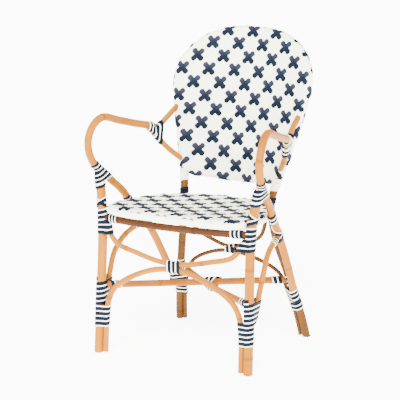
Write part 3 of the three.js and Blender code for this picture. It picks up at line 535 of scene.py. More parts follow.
# The honey cane is the cane's own colour. The amber, tan and brown canes are darker copies of it: partly
# their own darker stain, partly painted shade.
HONEY = cane("honey cane", (0.31, 0.104, 0.003, 1), (0.2, 0.061, 0.002, 1), (0.08, 0.025, 0.002, 1))
AMBER_AND_SHADE = cane("amber cane with painted shade", (0.24, 0.075, 0.005, 1), (0.13, 0.04, 0.004, 1), (0.06, 0.018, 0.003, 1))
TAN_AND_SHADE = cane("tan cane with painted shade", (0.088, 0.032, 0.005, 1), (0.045, 0.0155, 0.003, 1), (0.025, 0.008, 0.002, 1))
BROWN_AND_SHADE = cane("brown cane with painted shade", (0.055, 0.0185, 0.005, 1), (0.03, 0.009, 0.003, 1), (0.016, 0.005, 0.002, 1))
NAVY = strand("navy strand", (0.0032, 0.0064, 0.0135, 1), (0.0016, 0.0032, 0.0072, 1), 0.5, 0.03)
# The crosses' navy, with a painted sheen that lightens one half of each strand.
SHEENED_NAVY = strand("faded navy strand", (0.0036, 0.0072, 0.0155, 1), (0.0018, 0.0036, 0.0085, 1), 0.55, 0.04,
               (0.017, 0.019, 0.031, 1))
WHITE = strand("white strand", (0.86, 0.86, 0.72, 1), (0.66, 0.64, 0.50, 1), 0.5, 0.1)
# The woven ground's last colour is painted shade, for the small openings between the crosses.
GROUND = ground_weave("woven ground", (0.90, 0.91, 0.74, 1), (0.68, 0.68, 0.55, 1),
                      (0.34, 0.32, 0.27, 1), (0.10, 0.07, 0.05, 1))
GLIDE = moulded("glide plastic", (0.16, 0.15, 0.14, 1), 0.6)


# Poles: each is a route given to a tree of geometry nodes

def cane_tree():
    """Makes a route into a cane. Growth rings swell it, and its attributes place the finish's streaks."""
    tree = bpy.data.node_groups.new("cane along a route", "GeometryNodeTree")
    sockets = tree.interface
    sockets.new_socket("Geometry", in_out="INPUT", socket_type="NodeSocketGeometry")
    sockets.new_socket("Geometry", in_out="OUTPUT", socket_type="NodeSocketGeometry")
    for label, kind, value in [
        ("Radius", "NodeSocketFloat", 0.012), ("Sides", "NodeSocketInt", 20),
        ("Ring spacing", "NodeSocketFloat", 0.26), ("Ring width", "NodeSocketFloat", 0.004),
        ("Ring swell", "NodeSocketFloat", 0.05), ("Ring start", "NodeSocketFloat", 0.1),
        ("Finish", "NodeSocketMaterial", None),
    ]:
        socket = sockets.new_socket(label, in_out="INPUT", socket_type=kind)
        if value is not None:
            socket.default_value = value
    nodes, links = tree.nodes, tree.links

    def node(kind, **options):
        made = nodes.new(kind)
        for key, value in options.items():
            setattr(made, key, value)
        return made

    def maths(operation, *values):
        made = node("ShaderNodeMath", operation=operation)
        for value, socket in zip(values, made.inputs):
            if isinstance(value, bpy.types.NodeSocket):
                links.new(value, socket)
            else:
                socket.default_value = value
        return made.outputs[0]

    def keep(geometry, label, value, kind):
        made = node("GeometryNodeStoreNamedAttribute", data_type=kind, domain="POINT")
        made.inputs["Name"].default_value = label
        links.new(geometry, made.inputs["Geometry"])
        links.new(value, made.inputs["Value"])
        return made.outputs[0]

    given = node("NodeGroupInput").outputs
    length = node("GeometryNodeSplineParameter").outputs["Length"]
    half = maths("DIVIDE", given["Ring spacing"], 2.0)
    from_ring = maths("PINGPONG", maths("ADD", length, given["Ring start"]), half)
    off = maths("DIVIDE", from_ring, given["Ring width"])
    growth = maths("EXPONENT", maths("MULTIPLY", maths("POWER", off, 2.0), -1.0))
    swell = maths("ADD", 1.0, maths("MULTIPLY", given["Ring swell"], growth))
    size = maths("MULTIPLY", given["Radius"], swell)
    route = node("GeometryNodeMeshToCurve")
    links.new(given["Geometry"], route.inputs[0])
    carried = keep(route.outputs[0], "along", length, "FLOAT")
    carried = keep(carried, "growth", growth, "FLOAT")
    section = node("GeometryNodeCurvePrimitiveCircle")
    links.new(given["Sides"], section.inputs["Resolution"])
    section.inputs["Radius"].default_value = 1.0
    on_section = node("GeometryNodeInputPosition").outputs[0]
    around = keep(section.outputs[0], "around", on_section, "FLOAT_VECTOR")
    skin = node("GeometryNodeCurveToMesh")
    links.new(carried, skin.inputs["Curve"])
    links.new(around, skin.inputs["Profile Curve"])
    links.new(size, skin.inputs["Scale"])
    skin.inputs["Fill Caps"].default_value = True
    real = node("GeometryNodeRealizeInstances")
    links.new(skin.outputs[0], real.inputs[0])
    finish = node("GeometryNodeSetMaterial")
    links.new(real.outputs[0], finish.inputs["Geometry"])
    links.new(given["Finish"], finish.inputs["Material"])
    links.new(finish.outputs[0], node("NodeGroupOutput").inputs[0])
    return tree


CANE_TREE = cane_tree()


def set_inputs(modifier, **values):
    sockets = modifier.node_group.interface.items_tree
    identifiers = {s.name: s.identifier for s in sockets if s.in_out == "INPUT"}
    for label, value in values.items():
        modifier[identifiers[label.replace("_", " ")]] = value


def grown(name, route, closed, tree, **values):
    """The mesh that a tree makes of a route."""
    mesh = bpy.data.meshes.new(name + "_route")
    count = len(route)
    edges = [(i, (i + 1) % count) for i in range(count if closed else count - 1)]
    mesh.from_pydata(metres(route).tolist(), edges, [])
    source = bpy.data.objects.new(name + "_route", mesh)
    bpy.context.scene.collection.objects.link(source)
    modifier = source.modifiers.new("grow", "NODES")
    modifier.node_group = tree
    set_inputs(modifier, **values)
    bpy.context.view_layer.update()
    finished = source.evaluated_get(bpy.context.evaluated_depsgraph_get())
    result = bpy.data.meshes.new_from_object(finished)
    result.name = name
    bpy.data.objects.remove(source)
    bpy.data.meshes.remove(mesh)
    return result


def pole(name, node, route, radius, finish, ring_start=0.1, closed=False, shaded=None):
    """A cane. Below the height up to which it is shaded, if one is given, it is painted in the darker tan
    cane: painted shade, not a finish of its own.
    """
    mesh = grown(name, route, closed, CANE_TREE, Radius=radius * METRE, Finish=finish, Ring_start=ring_start)
    for vertex in mesh.vertices:
        vertex.co.z = max(vertex.co.z, FOOT_HEIGHT * METRE)
    # Painted shade: the faces below that height get the darker tan cane.
    if shaded:
        mesh.materials.append(TAN_AND_SHADE)
    for face in mesh.polygons:
        face.use_smooth = len(face.vertices) == 4
        if shaded and face.center.z < shaded * METRE:
            face.material_index = len(mesh.materials) - 1
    piece = bpy.data.objects.new(name, mesh)
    bpy.context.scene.collection.objects.link(piece)
    return hand_over(piece, "rattan_pole", node)


# The hoop is one cane with one finish; below this height it is painted darker as painted shade.
HOOP_SHADED_TO = 480
RING_SHIFT = 0.1


def make_poles():
    for side, sign in SIDES:
        shift = RING_SHIFT if sign > 0 else 0
        for label, route, radius, start in [
            ("front_leg", LEG, LEG_RADIUS, 0.09), ("arm_pole", ARM, ARM_RADIUS, 0.02),
            ("arm_bracket", BRACKET, BRACKET_RADIUS, 0.11), ("side_brace", BRACE, BRACE_RADIUS, 0.04),
        ]:
            line = on_side(sign, route)
            pole(f"{label}_cane_{side}", f"{label}_{side}", line, radius, HONEY, start + shift)
    pole("back_hoop_cane", "back_hoop", HOOP, HOOP_RADIUS, HONEY, shaded=HOOP_SHADED_TO)
    # The rail, rear arches, stretchers and back bar get darker canes: partly their own stain, partly painted
    # shade.
    for label, route, radius, finish in [
        ("front_rail", RAIL, RAIL_RADIUS, BROWN_AND_SHADE),
        ("front_upper_arch", UPPER_ARCH, UPPER_ARCH_RADIUS, HONEY),
        ("front_lower_arch", LOWER_ARCH, LOWER_ARCH_RADIUS, HONEY),
        ("rear_upper_arch", REAR_UPPER, REAR_ARCH_RADIUS, TAN_AND_SHADE),
        ("rear_lower_arch", REAR_LOWER, REAR_ARCH_RADIUS, TAN_AND_SHADE),
        ("straight_stretcher", STRAIGHT_STRETCHER, STRETCHER_RADIUS, AMBER_AND_SHADE),
        ("sprung_stretcher", SPRUNG_STRETCHER, STRETCHER_RADIUS, AMBER_AND_SHADE),
        ("back_bar", BACK_BAR, BACK_BAR_RADIUS, BROWN_AND_SHADE),
    ]:
        pole(f"{label}_cane", label, route, radius, finish)
    pole("seat_hoop_cane", "seat_hoop", seat_ring(4), SEAT_HOOP_RADIUS, BROWN_AND_SHADE, closed=True)


make_poles()

# A glide's outline as radius and height, and the number of its sides
GLIDE_PROFILE = [(0.01, 0), (7.2, 0), (8.4, 0.35), (9, 1.1), (9, 2.3), (8.7, 2.9), (8.2, 3.2), (0.01, 3.2)]
GLIDE_SIDES = 32


def make_glides():
    """Moulded discs with rounded edges under the four sawn feet."""
    angles = np.linspace(0, 2 * math.pi, GLIDE_SIDES, endpoint=False)
    for end, line in (("front", LEG), ("rear", HOOP)):
        foot = at_height(line, FOOT_HEIGHT)
        for side, sign in SIDES:
            points = [(foot[0] * sign + r * math.cos(a), foot[1] + r * math.sin(a), z)
                      for r, z in GLIDE_PROFILE for a in angles]
            grid = np.arange(len(points)).reshape(len(GLIDE_PROFILE), GLIDE_SIDES)
            quads = squares(np.hstack([grid, grid[:, :1]]))[:, [0, 3, 2, 1]]
            piece = new_piece(f"{end}_glide_disc_{side}", points, quads, [GLIDE])
            hand_over(piece, "glide_plastic", f"{end}_glide_{side}")


make_glides()


# Woven cloth: a flat pattern laid on a panel and wrapped round its rim

CLOTH_SETTLE = 60
PLACES_AT_ONCE = 4000


class Cloth:
    """Takes flat places, in millimetres of cloth, to points on the woven panel and round its rim pole."""

    def __init__(self, centres, faces, radii, flat_of, point_of):
        along = unit(np.roll(centres, -1, 0) - np.roll(centres, 1, 0))
        faces = unit(faces - along * (faces * along).sum(1)[:, None])
        self.centres, self.faces, self.radii, self.point_of = centres, faces, radii, point_of
        self.outs = unit(np.cross(along, faces))
        fold = centres + faces * radii[:, None]
        self.flat = flat_of(fold)
        outward = flat_of(fold + self.outs) - self.flat
        if (outward * (self.flat - self.flat.mean(0))).sum() < 0:
            self.outs = -self.outs

    def nearest(self, places):
        """For each place: the rim station, the share on to the next one, and how far past the rim it lies."""
        start = self.flat
        step = np.roll(start, -1, 0) - start
        length = (step ** 2).sum(1)
        best = np.full(len(places), np.inf)
        index = np.zeros(len(places), int)
        share = np.zeros(len(places))
        for first in range(0, len(places), PLACES_AT_ONCE):
            part = slice(first, first + PLACES_AT_ONCE)
            off = places[part, None, :] - start[None]
            t = np.clip((off * step[None]).sum(2) / length[None], 0, 1)
            away = ((off - t[:, :, None] * step[None]) ** 2).sum(2)
            i = away.argmin(1)
            rows = np.arange(len(i))
            index[part], share[part], best[part] = i, t[rows, i], away[rows, i]
        distance = np.sqrt(best)
        return index, share, np.where(self.inside(places), -distance, distance)

    def inside(self, places):
        """Whether each place lies within the rim, from how often a level line to it crosses the rim."""
        a, b = self.flat, np.roll(self.flat, -1, 0)
        result = np.zeros(len(places), bool)
        for (ax, ay), (bx, by) in zip(a, b):
            crosses = (ay > places[:, 1]) != (by > places[:, 1])
            if crosses.any():
                at = ax + (places[:, 1] - ay) / (by - ay) * (bx - ax)
                result ^= crosses & (places[:, 0] < at)
        return result

    def points(self, places):
        """Points of the panel, or of the rim for places past it, with their way past the rim."""
        index, share, past = self.nearest(places)
        after = (index + 1) % len(self.centres)
        s = share[:, None]
        centre = self.centres[index] * (1 - s) + self.centres[after] * s
        face = unit(self.faces[index] * (1 - s) + self.faces[after] * s)
        out = unit(self.outs[index] * (1 - s) + self.outs[after] * s)
        radius = (self.radii[index] * (1 - share) + self.radii[after] * share)[:, None]
        angle = np.clip(past, 0, None)[:, None] / radius
        wrapped = centre + radius * (np.cos(angle) * face + np.sin(angle) * out)
        rim = centre + radius * face
        flat_rim = self.flat[index] * (1 - s) + self.flat[after] * s
        miss = rim - self.point_of(flat_rim, np.zeros(len(places)))
        weight = np.clip(1 + past / CLOTH_SETTLE, 0, 1)[:, None] ** 2
        inner = self.point_of(places, past) + miss * weight
        return np.where(past[:, None] > 0, wrapped, inner), past

    def lifted(self, places, heights):
        """Points raised off the cloth, with their way past the rim."""
        probe = 0.8
        here, past = self.points(places)
        right, _ = self.points(places + (probe, 0))
        up, _ = self.points(places + (0, probe))
        normal = np.cross(right - here, up - here)
        size = np.linalg.norm(normal, axis=1, keepdims=True)
        normal = normal / np.maximum(size, 1e-9)
        return here + normal * heights[:, None], past


def seat_cloth():
    line = seat_ring(6)

    def flat_of(points):
        return points[:, :2]

    def point_of(places, past):
        sag = SEAT_SAG * (1 - np.exp(-(np.clip(-past, 0, None) / SAG_REACH) ** 2))
        height = seat_hoop_height(places[:, 1]) + SEAT_WRAP - sag
        return np.column_stack([places, height])

    faces = np.tile(np.array([0, SEAT_SLOPE, 1.0]), (len(line), 1))
    return Cloth(line, faces, np.full(len(line), float(SEAT_WRAP)), flat_of, point_of)


# Where the back's cloth leaves the hoop, as a share of its height, its reach along the bar, and the number
# of points on a corner
CLOTH_FROM = 0.562
BAR_REACH = 122
CORNER_POINTS = 7


def back_cloth():
    """The rim goes up the hoop's left side, down its right one, round a corner and back along the bar."""
    hoop = HOOP[HOOP[:, 2] > CLOTH_FROM * HOOP_HEIGHT][::2]
    bar = BACK_BAR[np.abs(BACK_BAR[:, 0]) < BAR_REACH][::2][::-1]

    def corner(start, middle, end):
        t = np.linspace(0, 1, CORNER_POINTS + 2)[1:-1, None]
        return (1 - t) ** 2 * start + 2 * t * (1 - t) * middle + t ** 2 * end

    line = np.vstack([
        hoop, corner(hoop[-1], mirrored(BAR_END), bar[0]), bar, corner(bar[-1], BAR_END, hoop[0]),
    ])
    radii = np.concatenate([
        np.full(len(hoop), float(BACK_WRAP)), np.linspace(BACK_WRAP, BAR_WRAP, CORNER_POINTS),
        np.full(len(bar), float(BAR_WRAP)), np.linspace(BAR_WRAP, BACK_WRAP, CORNER_POINTS),
    ])

    def flat_of(points):
        return np.column_stack([points[:, 0], back_length(points[:, 2])])

    def point_of(places, past):
        depth = np.interp(places[:, 1], BACK_LENGTHS, BACK_PROFILE[:, 1])
        height = np.interp(places[:, 1], BACK_LENGTHS, BACK_PROFILE[:, 2])
        return np.column_stack([places[:, 0], depth - BACK_BOW * places[:, 0] ** 2, height])

    return Cloth(line, back_face(line), radii, flat_of, point_of)


RELIEF_HEIGHT = 0.9
SEAT_PATTERN = {"start": np.array([-22.0, 41.0]), "pitch": np.array([44.0, 41.0])}

# The back's lowest and highest row of crosses, by height, and how many rows apart they are
LOW_ROW, HIGH_ROW, ROWS = 525, 887, 9
BACK_PATTERN = {
    "start": np.array([0, back_length(LOW_ROW)]),
    "pitch": np.array([41.2, (back_length(HIGH_ROW) - back_length(LOW_ROW)) / ROWS]),
}
CORNER_REACH = 150


def relief(cells):
    """Over-and-under weave: every strand crossing is a small pillow, and the strands dive at its ends."""
    strands = cells * STRANDS_PER_STEP
    whole = np.floor(strands)
    off = (strands - whole - 0.5) * math.pi
    upright = whole.sum(1) % 2 > 0
    across = np.where(upright, off[:, 0], off[:, 1])
    along = np.where(upright, off[:, 1], off[:, 0])
    return RELIEF_HEIGHT * (np.sqrt(np.abs(np.cos(across))) * (0.55 + 0.45 * np.cos(along)) - 1)


def clothed(name, cloth, pattern, samples, reach, finish, rear=False):
    """The cloth as one relief surface, from its middle to a set way past the fold at the rim."""
    step = pattern["pitch"] / STRANDS_PER_STEP / samples
    low = np.floor((cloth.flat.min(0) - max(reach, 0) - pattern["start"]) / step) * step + pattern["start"]
    high = cloth.flat.max(0) + max(reach, 0) + step
    across, upward = (np.arange(low[k] + step[k] / 2, high[k], step[k]) for k in (0, 1))
    places = table(across, upward)
    index, share, past = cloth.nearest(places)
    outer = past > reach
    after = (index + 1) % len(cloth.flat)
    rim = cloth.flat[index] * (1 - share[:, None]) + cloth.flat[after] * share[:, None]
    pulled = places.copy()
    pulled[outer] = rim[outer] + (places - rim)[outer] * (reach / past[outer])[:, None]
    quads = squares(np.arange(len(places)).reshape(len(across), len(upward)))
    quads = quads[(~outer[quads]).any(1) & (past[quads] < reach + 2 * step.max()).all(1)]
    used = np.unique(quads)
    order = np.full(len(places), -1)
    order[used] = np.arange(len(used))
    flat = pulled[used]
    cells = (flat - pattern["start"]) / pattern["pitch"]
    heights = relief(cells)
    points, _ = cloth.lifted(flat, -heights - WEAVE_THICKNESS if rear else heights)
    quads = order[quads]
    return new_piece(name, points, quads[:, ::-1] if rear else quads, [finish], uv=cells)


# A cross: half the length and width of its strands, their rounded ends and waist, how deep their edges
# lie in the cloth, how far one rises over the other and over what length, and the scale of their map
CROSS_ARM = 24.5
CROSS_HALF_WIDTH = 8.8
CROSS_ROUNDING = 5.5
CROSS_WAIST = 0.7
WAIST_REACH = 0.62 * CROSS_ARM
CROSS_SUNK = 0.5
CROSS_OVER = 1.1
OVER_REACH = 9
CROSS_MAP = (0.004, 0.03)


def crosses(name, cloth, pattern, reach, finish, rear=False, lone=None, crown_height=2.4):
    """Two puffed strands over each other at every second crossing of the pattern's grid."""
    pitch, start = pattern["pitch"], pattern["start"]
    low = np.floor((cloth.flat.min(0) - reach - start) / pitch).astype(int)
    high = np.ceil((cloth.flat.max(0) + reach - start) / pitch).astype(int)
    quarter = np.linspace(0, math.pi / 2, 4)
    along = np.concatenate([-CROSS_ARM + CROSS_ROUNDING * (1 - np.cos(quarter))[:-1],
                            np.linspace(-CROSS_ARM + CROSS_ROUNDING, CROSS_ARM - CROSS_ROUNDING, 9),
                            CROSS_ARM - CROSS_ROUNDING * (1 - np.sin(quarter))[1:]])
    past_end = np.clip((np.abs(along) - CROSS_ARM + CROSS_ROUNDING) / CROSS_ROUNDING, 0, 1)
    rounding = np.sqrt(1 - past_end ** 2)
    from_waist = np.sin(np.clip(np.abs(along) / WAIST_REACH, 0, 1) * math.pi / 2)
    waist = CROSS_WAIST + (1 - CROSS_WAIST) * from_waist
    across = np.sin(np.linspace(-math.pi / 2, math.pi / 2, 7))
    rows, columns = len(along), len(across)
    sideways = across[None] * (CROSS_HALF_WIDTH * rounding * waist)[:, None]
    crown = crown_height * ((1 - across ** 2) ** 0.35)[None] * (0.35 + 0.65 * rounding)[:, None] - CROSS_SUNK
    faces = squares(np.arange(rows * columns).reshape(rows, columns))
    own_map = table(along * CROSS_MAP[0], across * CROSS_MAP[1])
    flats, heights, quads = [], [], []
    for k in range(low[0], high[0] + 1):
        for j in range(low[1], high[1] + 1):
            if (k + j) % 2:
                continue
            centre = start + (k, j) * pitch
            for lean in (-1, 1):
                if lone and not lone(centre, lean):
                    continue
                ahead = unit(pitch * (lean, 1))
                aside = np.array([ahead[1], -ahead[0]])
                raised = CROSS_OVER * np.exp(-(along / OVER_REACH) ** 2) * (lean < 0)
                flat = centre + along[:, None, None] * ahead + sideways[:, :, None] * aside
                quads.append(faces + rows * columns * len(flats))
                flats.append(flat.reshape(-1, 2))
                heights.append((crown + raised[:, None]).ravel())
    flat, height = np.vstack(flats), np.concatenate(heights)
    quads, uv = np.vstack(quads), np.tile(own_map, (len(flats), 1))
    points, past = cloth.lifted(flat, -height - WEAVE_THICKNESS if rear else height)
    kept = (past[quads] < reach).all(1)
    used, quads = np.unique(quads[kept], return_inverse=True)
    quads = quads.reshape(-1, 4)
    return new_piece(name, points[used], quads if rear else quads[:, ::-1], [finish], uv=uv[used])


# The white strand round a rim: its width, the rings for each width, the points of a ring and its last angle
WRAP_WIDTH = 5.9
WRAP_RINGS = 4
WRAP_POINTS = 18
WRAP_END = 5.6


def rim_wrap(name, cloth, finish, start_angle):
    """White strand wound round the rim pole, behind the edge of the cloth."""
    along = lengths_along(np.vstack([cloth.centres, cloth.centres[:1]]))
    count = int(round(along[-1] / WRAP_WIDTH))
    places = np.linspace(0, along[-1], count * WRAP_RINGS, endpoint=False)

    def carried(values):
        values = np.concatenate([values, values[:1]])
        if values.ndim == 1:
            return np.interp(places, along, values)
        return np.stack([np.interp(places, along, values[:, k]) for k in range(3)], 1)

    centre, face, out = carried(cloth.centres), unit(carried(cloth.faces)), unit(carried(cloth.outs))
    ridge = np.abs(np.sin(np.arange(len(places)) * math.pi / WRAP_RINGS + 0.4)) * 0.8 - 1.2
    radius = carried(cloth.radii) + ridge
    angles = np.linspace(start_angle, WRAP_END, WRAP_POINTS)
    ring = np.cos(angles)[None, :, None] * face[:, None] + np.sin(angles)[None, :, None] * out[:, None]
    points = (centre[:, None] + ring * radius[:, None, None]).reshape(-1, 3)
    grid = np.arange(len(points)).reshape(len(places), WRAP_POINTS)
    quads = squares(np.vstack([grid, grid[:1]]))
    if np.dot(np.cross(centre[1] - centre[0], out[0]), face[0]) < 0:
        quads = quads[:, ::-1]
    return new_piece(name, points, quads, [finish], uv=table(places / 42, angles / 3))


def back_strokes(centre, lean):
    """Low at the corners of the back only the strand that leans in toward the middle shows."""
    low = centre[1] < BACK_PATTERN["start"][1] + 1
    if low and abs(centre[0]) > CORNER_REACH:
        return centre[1] > BACK_PATTERN["start"][1] - 1 and lean * centre[0] < 0
    return True


# How far past the fold at the rim each cloth and its crosses reach
SEAT_TOP_REACH, SEAT_UNDER_REACH, SEAT_CROSS_REACH = 44, -12, 17
BACK_FRONT_REACH, BACK_REAR_REACH, BACK_CROSS_REACH = 46, -14, 42


def make_weaves():
    seat, back = seat_cloth(), back_cloth()
    top = clothed("seat_weave_top", seat, SEAT_PATTERN, 3, SEAT_TOP_REACH, GROUND)
    hand_over(top, "white_weave", "seat_weave")
    under = clothed("seat_weave_under", seat, SEAT_PATTERN, 2, SEAT_UNDER_REACH, GROUND, rear=True)
    hand_over(under, "white_weave")
    hand_over(rim_wrap("seat_rim_wrap", seat, WHITE, 2.6), "white_weave")
    over = crosses("seat_crosses", seat, SEAT_PATTERN, SEAT_CROSS_REACH, SHEENED_NAVY, crown_height=2.8)
    hand_over(over, "navy_strand")
    front = clothed("back_weave_front", back, BACK_PATTERN, 3, BACK_FRONT_REACH, GROUND)
    hand_over(front, "white_weave", "back_weave")
    rear = clothed("back_weave_rear", back, BACK_PATTERN, 2, BACK_REAR_REACH, GROUND, rear=True)
    hand_over(rear, "white_weave")
    hand_over(rim_wrap("back_rim_wrap", back, WHITE, 2.5), "white_weave")
    over = crosses("back_crosses_front", back, BACK_PATTERN, BACK_CROSS_REACH, SHEENED_NAVY, lone=back_strokes)
    hand_over(over, "navy_strand")
    over = crosses("back_crosses_rear", back, BACK_PATTERN, BACK_REAR_REACH, SHEENED_NAVY, rear=True)
    hand_over(over, "navy_strand")


make_weaves()


# Bindings: navy and white strand wound side by side round poles that lie together
# A plane is a function that takes a place along the poles and gives a point and the way across them

def up_pole(line):
    """Planes across an upright pole, by height."""
    def plane(height):
        above, below = at_height(line, height + LEG_RADIUS), at_height(line, height - LEG_RADIUS)
        return at_height(line, height), unit(above - below)
    return plane


def straight(origin, direction):
    """Planes across a straight way, by distance from its origin."""
    origin, direction = np.asarray(origin, float), unit(direction)

    def plane(distance):
        return origin + direction * distance, direction
    return plane


def fanned(stations):
    """Planes that turn from station to station, each station a distance, a point and the way across."""
    places = [s[0] for s in stations]

    def plane(distance):
        i = int(np.clip(np.searchsorted(places, distance), 1, len(places) - 1))
        (a, start, first), (b, end, second) = stations[i - 1], stations[i]
        share = (distance - a) / (b - a)
        return start + (end - start) * share, unit(first + (second - first) * share)
    return plane


def section(line, radius, origin, normal):
    """Where a pole passes through a plane, and how wide it is there. Past its end it is round as a ball."""
    height = (line - origin) @ normal
    crossing = np.nonzero(height[:-1] * height[1:] <= 0)[0]
    if len(crossing):
        share = height[crossing] / (height[crossing] - height[crossing + 1] + 1e-12)
        points = line[crossing] + (line[crossing + 1] - line[crossing]) * share[:, None]
        nearest = ((points - origin) ** 2).sum(1).argmin()
        i = crossing[nearest]
        tilt = abs(height[i + 1] - height[i]) / np.linalg.norm(line[i + 1] - line[i])
        return points[nearest], radius / max(tilt, 0.6)
    i = 0 if abs(height[0]) < abs(height[-1]) else -1
    return line[i] - normal * height[i], math.sqrt(max(radius ** 2 - height[i] ** 2, 0))


# A strand's section as shares of its half width and thickness, how much of its place it fills, the part of
# each pair that is navy, how far it lies off its poles, the steps of a turn and of a strap, and how far one
# strap lies over another
STRAND_CROWN = [(-1, -0.2), (-0.9, 0.75), (-0.45, 1), (0.45, 1), (0.9, 0.75), (1, -0.2)]
STRAND_THICKNESS = 1.7
STRAND_FILL = 0.97
NAVY_SHARE = 0.73
STRAND_OFF = 0.45
STRAND_STEPS = 32
STRAP_STEPS = 20
STRAP_OVER = 1.1


def taut(plane, poles, start, at, angle, extra):
    """Where a taut band round all the poles faces the way of an angle: the point, and that way."""
    origin, normal = plane(at)
    across = unit(start - normal * (start @ normal))
    aside = np.cross(normal, across)
    direction = across * math.cos(angle) + aside * math.sin(angle)
    best, reach = None, -np.inf
    for line, radius in poles:
        point, width = section(line, radius, origin, normal)
        far = (point - origin) @ direction + width
        if far > reach and (width > 0 or len(poles) == 1):
            best, reach = point + direction * (width + extra), far
    return best, direction


def across_strand(below, above, direction, height):
    """The points of a strand's section between its two edges."""
    return [below + (above - below) * (0.5 + 0.5 * side) + direction * (height * up)
            for side, up in STRAND_CROWN]


def wound(plane, poles, start, span, white_first=False):
    """The strands of a span, given as its two ends and its pairs, navy and white by turns.
    The poles are a list, or a function that gives the list for a place."""
    start = np.asarray(start, float)
    low, high, pairs = span
    lead = (high - low) / pairs
    shares = [1 - NAVY_SHARE, NAVY_SHARE] if white_first else [NAVY_SHARE, 1 - NAVY_SHARE]
    steps = int(STRAND_STEPS * pairs)
    strands = []
    for turn, share in enumerate(shares):
        half = lead * share * STRAND_FILL / 2
        middle = share / 2 + shares[0] * turn
        rings = []
        for k in range(steps + 1):
            angle = 2 * math.pi * k / STRAND_STEPS
            at = low + lead * (middle + k / STRAND_STEPS)
            held = poles(at) if callable(poles) else poles
            below, direction = taut(plane, held, start, at - half, angle, STRAND_OFF)
            above, _ = taut(plane, held, start, at + half, angle, STRAND_OFF)
            thinned = min(1, (k + 0.5) / 2, (steps - k + 0.5) / 2)
            rings.append(across_strand(below, above, direction, STRAND_THICKNESS * thinned))
        strands.append((np.array(rings), (turn + white_first) % 2))
    return strands


def crossed(plane, held, start, at, rise, reach, half, edge):
    """Two straps that cross on a pole, each navy with a white edge.
    Each rises or falls round the pole, as far as the reach on both sides."""
    start = np.asarray(start, float)
    strands = []
    for over, (left, right) in enumerate([(at + rise, at - rise / 2), (at - rise, at + rise / 2)]):
        for colour, offset, width in ((0, 0, half), (1, half + edge, edge)):
            rings = []
            for k in range(STRAP_STEPS + 1):
                share = k / STRAP_STEPS
                middle = left + (right - left) * share + offset
                angle = reach * (2 * share - 1)
                off = STRAND_OFF + STRAP_OVER * over
                below, direction = taut(plane, [held], start, middle - width, angle, off)
                above, _ = taut(plane, [held], start, middle + width, angle, off)
                rings.append(across_strand(below, above, direction, STRAND_THICKNESS))
            strands.append((np.array(rings), colour))
    return strands


def moved(span, distance):
    low, high, pairs = span
    return low + distance, high + distance, pairs


def bound(name, node, *parts, slot="navy_strand", only=None):
    """One piece of all the strands of its parts, in their own colours or only in the one given."""
    vertices, faces, colours, maps, base = [], [], [], [], 0
    for rings, colour in [strand for part in parts for strand in part]:
        rows, columns = rings.shape[:2]
        quads = squares(base + np.arange(rows * columns).reshape(rows, columns))[:, [0, 3, 2, 1]]
        inward = unit(rings[:, 0] + rings[:, -1] - 2 * rings.mean(1))
        normal = np.cross(rings[:-1, 1] - rings[:-1, 0], rings[1:, 0] - rings[:-1, 0])
        if (normal * -inward[:-1]).sum() < 0:
            quads = quads[:, ::-1]
        vertices.append(rings.reshape(-1, 3))
        faces.append(quads)
        colours.append(np.full(len(quads), colour if only is None else only))
        maps.append(table(np.arange(rows) * 0.02, np.arange(columns) * 0.03))
        base += rows * columns
    vertices, faces, colours, maps = (np.concatenate(values) for values in (vertices, faces, colours, maps))
    hand_over(new_piece(name, vertices, faces, [NAVY, WHITE], colours, maps), slot, node)


# The span of each part of a binding: its ends, by height or by distance from its point, and its pairs
FRONT_FOOT = {"left": (80, 213, 9.5), "right": (74, 217, 9.5)}
FOOT_BRACE_FROM = 151
FRONT_UPPER = (357, 429, 5)
REAR_FOOT_LOW, REAR_FOOT_MIDDLE, REAR_FOOT_TOP = (92, 124, 2.5), (124, 164, 3), (165, 204, 3)
ARM_FRONT_LOW, ARM_FRONT_TOP = (-4, 9, 1), (10, 72, 5)
ARM_REAR = (8, 50, 4)
RAIL_ENDS = (1.7, 37, 3)
BRACE_TOP = (9, 40, 3)
SEAT_SIDE = (-13, 12, 2)
UPRIGHT = (464, 499, 3)
REAR_CORNER = (-9, 8, 2)
ARCH_TIE = (-21, 21, 3)
REAR_ARCH_TIE = (-15, 15, 2)
STRETCHER_END = (0, 30, 2)
STRETCHER_TIE = (-15, 15, 2.5)

# Crossed straps: how far they rise, how far round they reach, and half the width of their navy and white
BRACE_STRAPS = {"rise": 25, "reach": 2.6, "half": 6.5, "edge": 1.2}
CORNER_STRAPS = {"rise": 17, "reach": 1.9, "half": 5.4, "edge": 1.8}
BRACE_STRAPS_UP = 4
CORNER_STRAPS_UP = 15


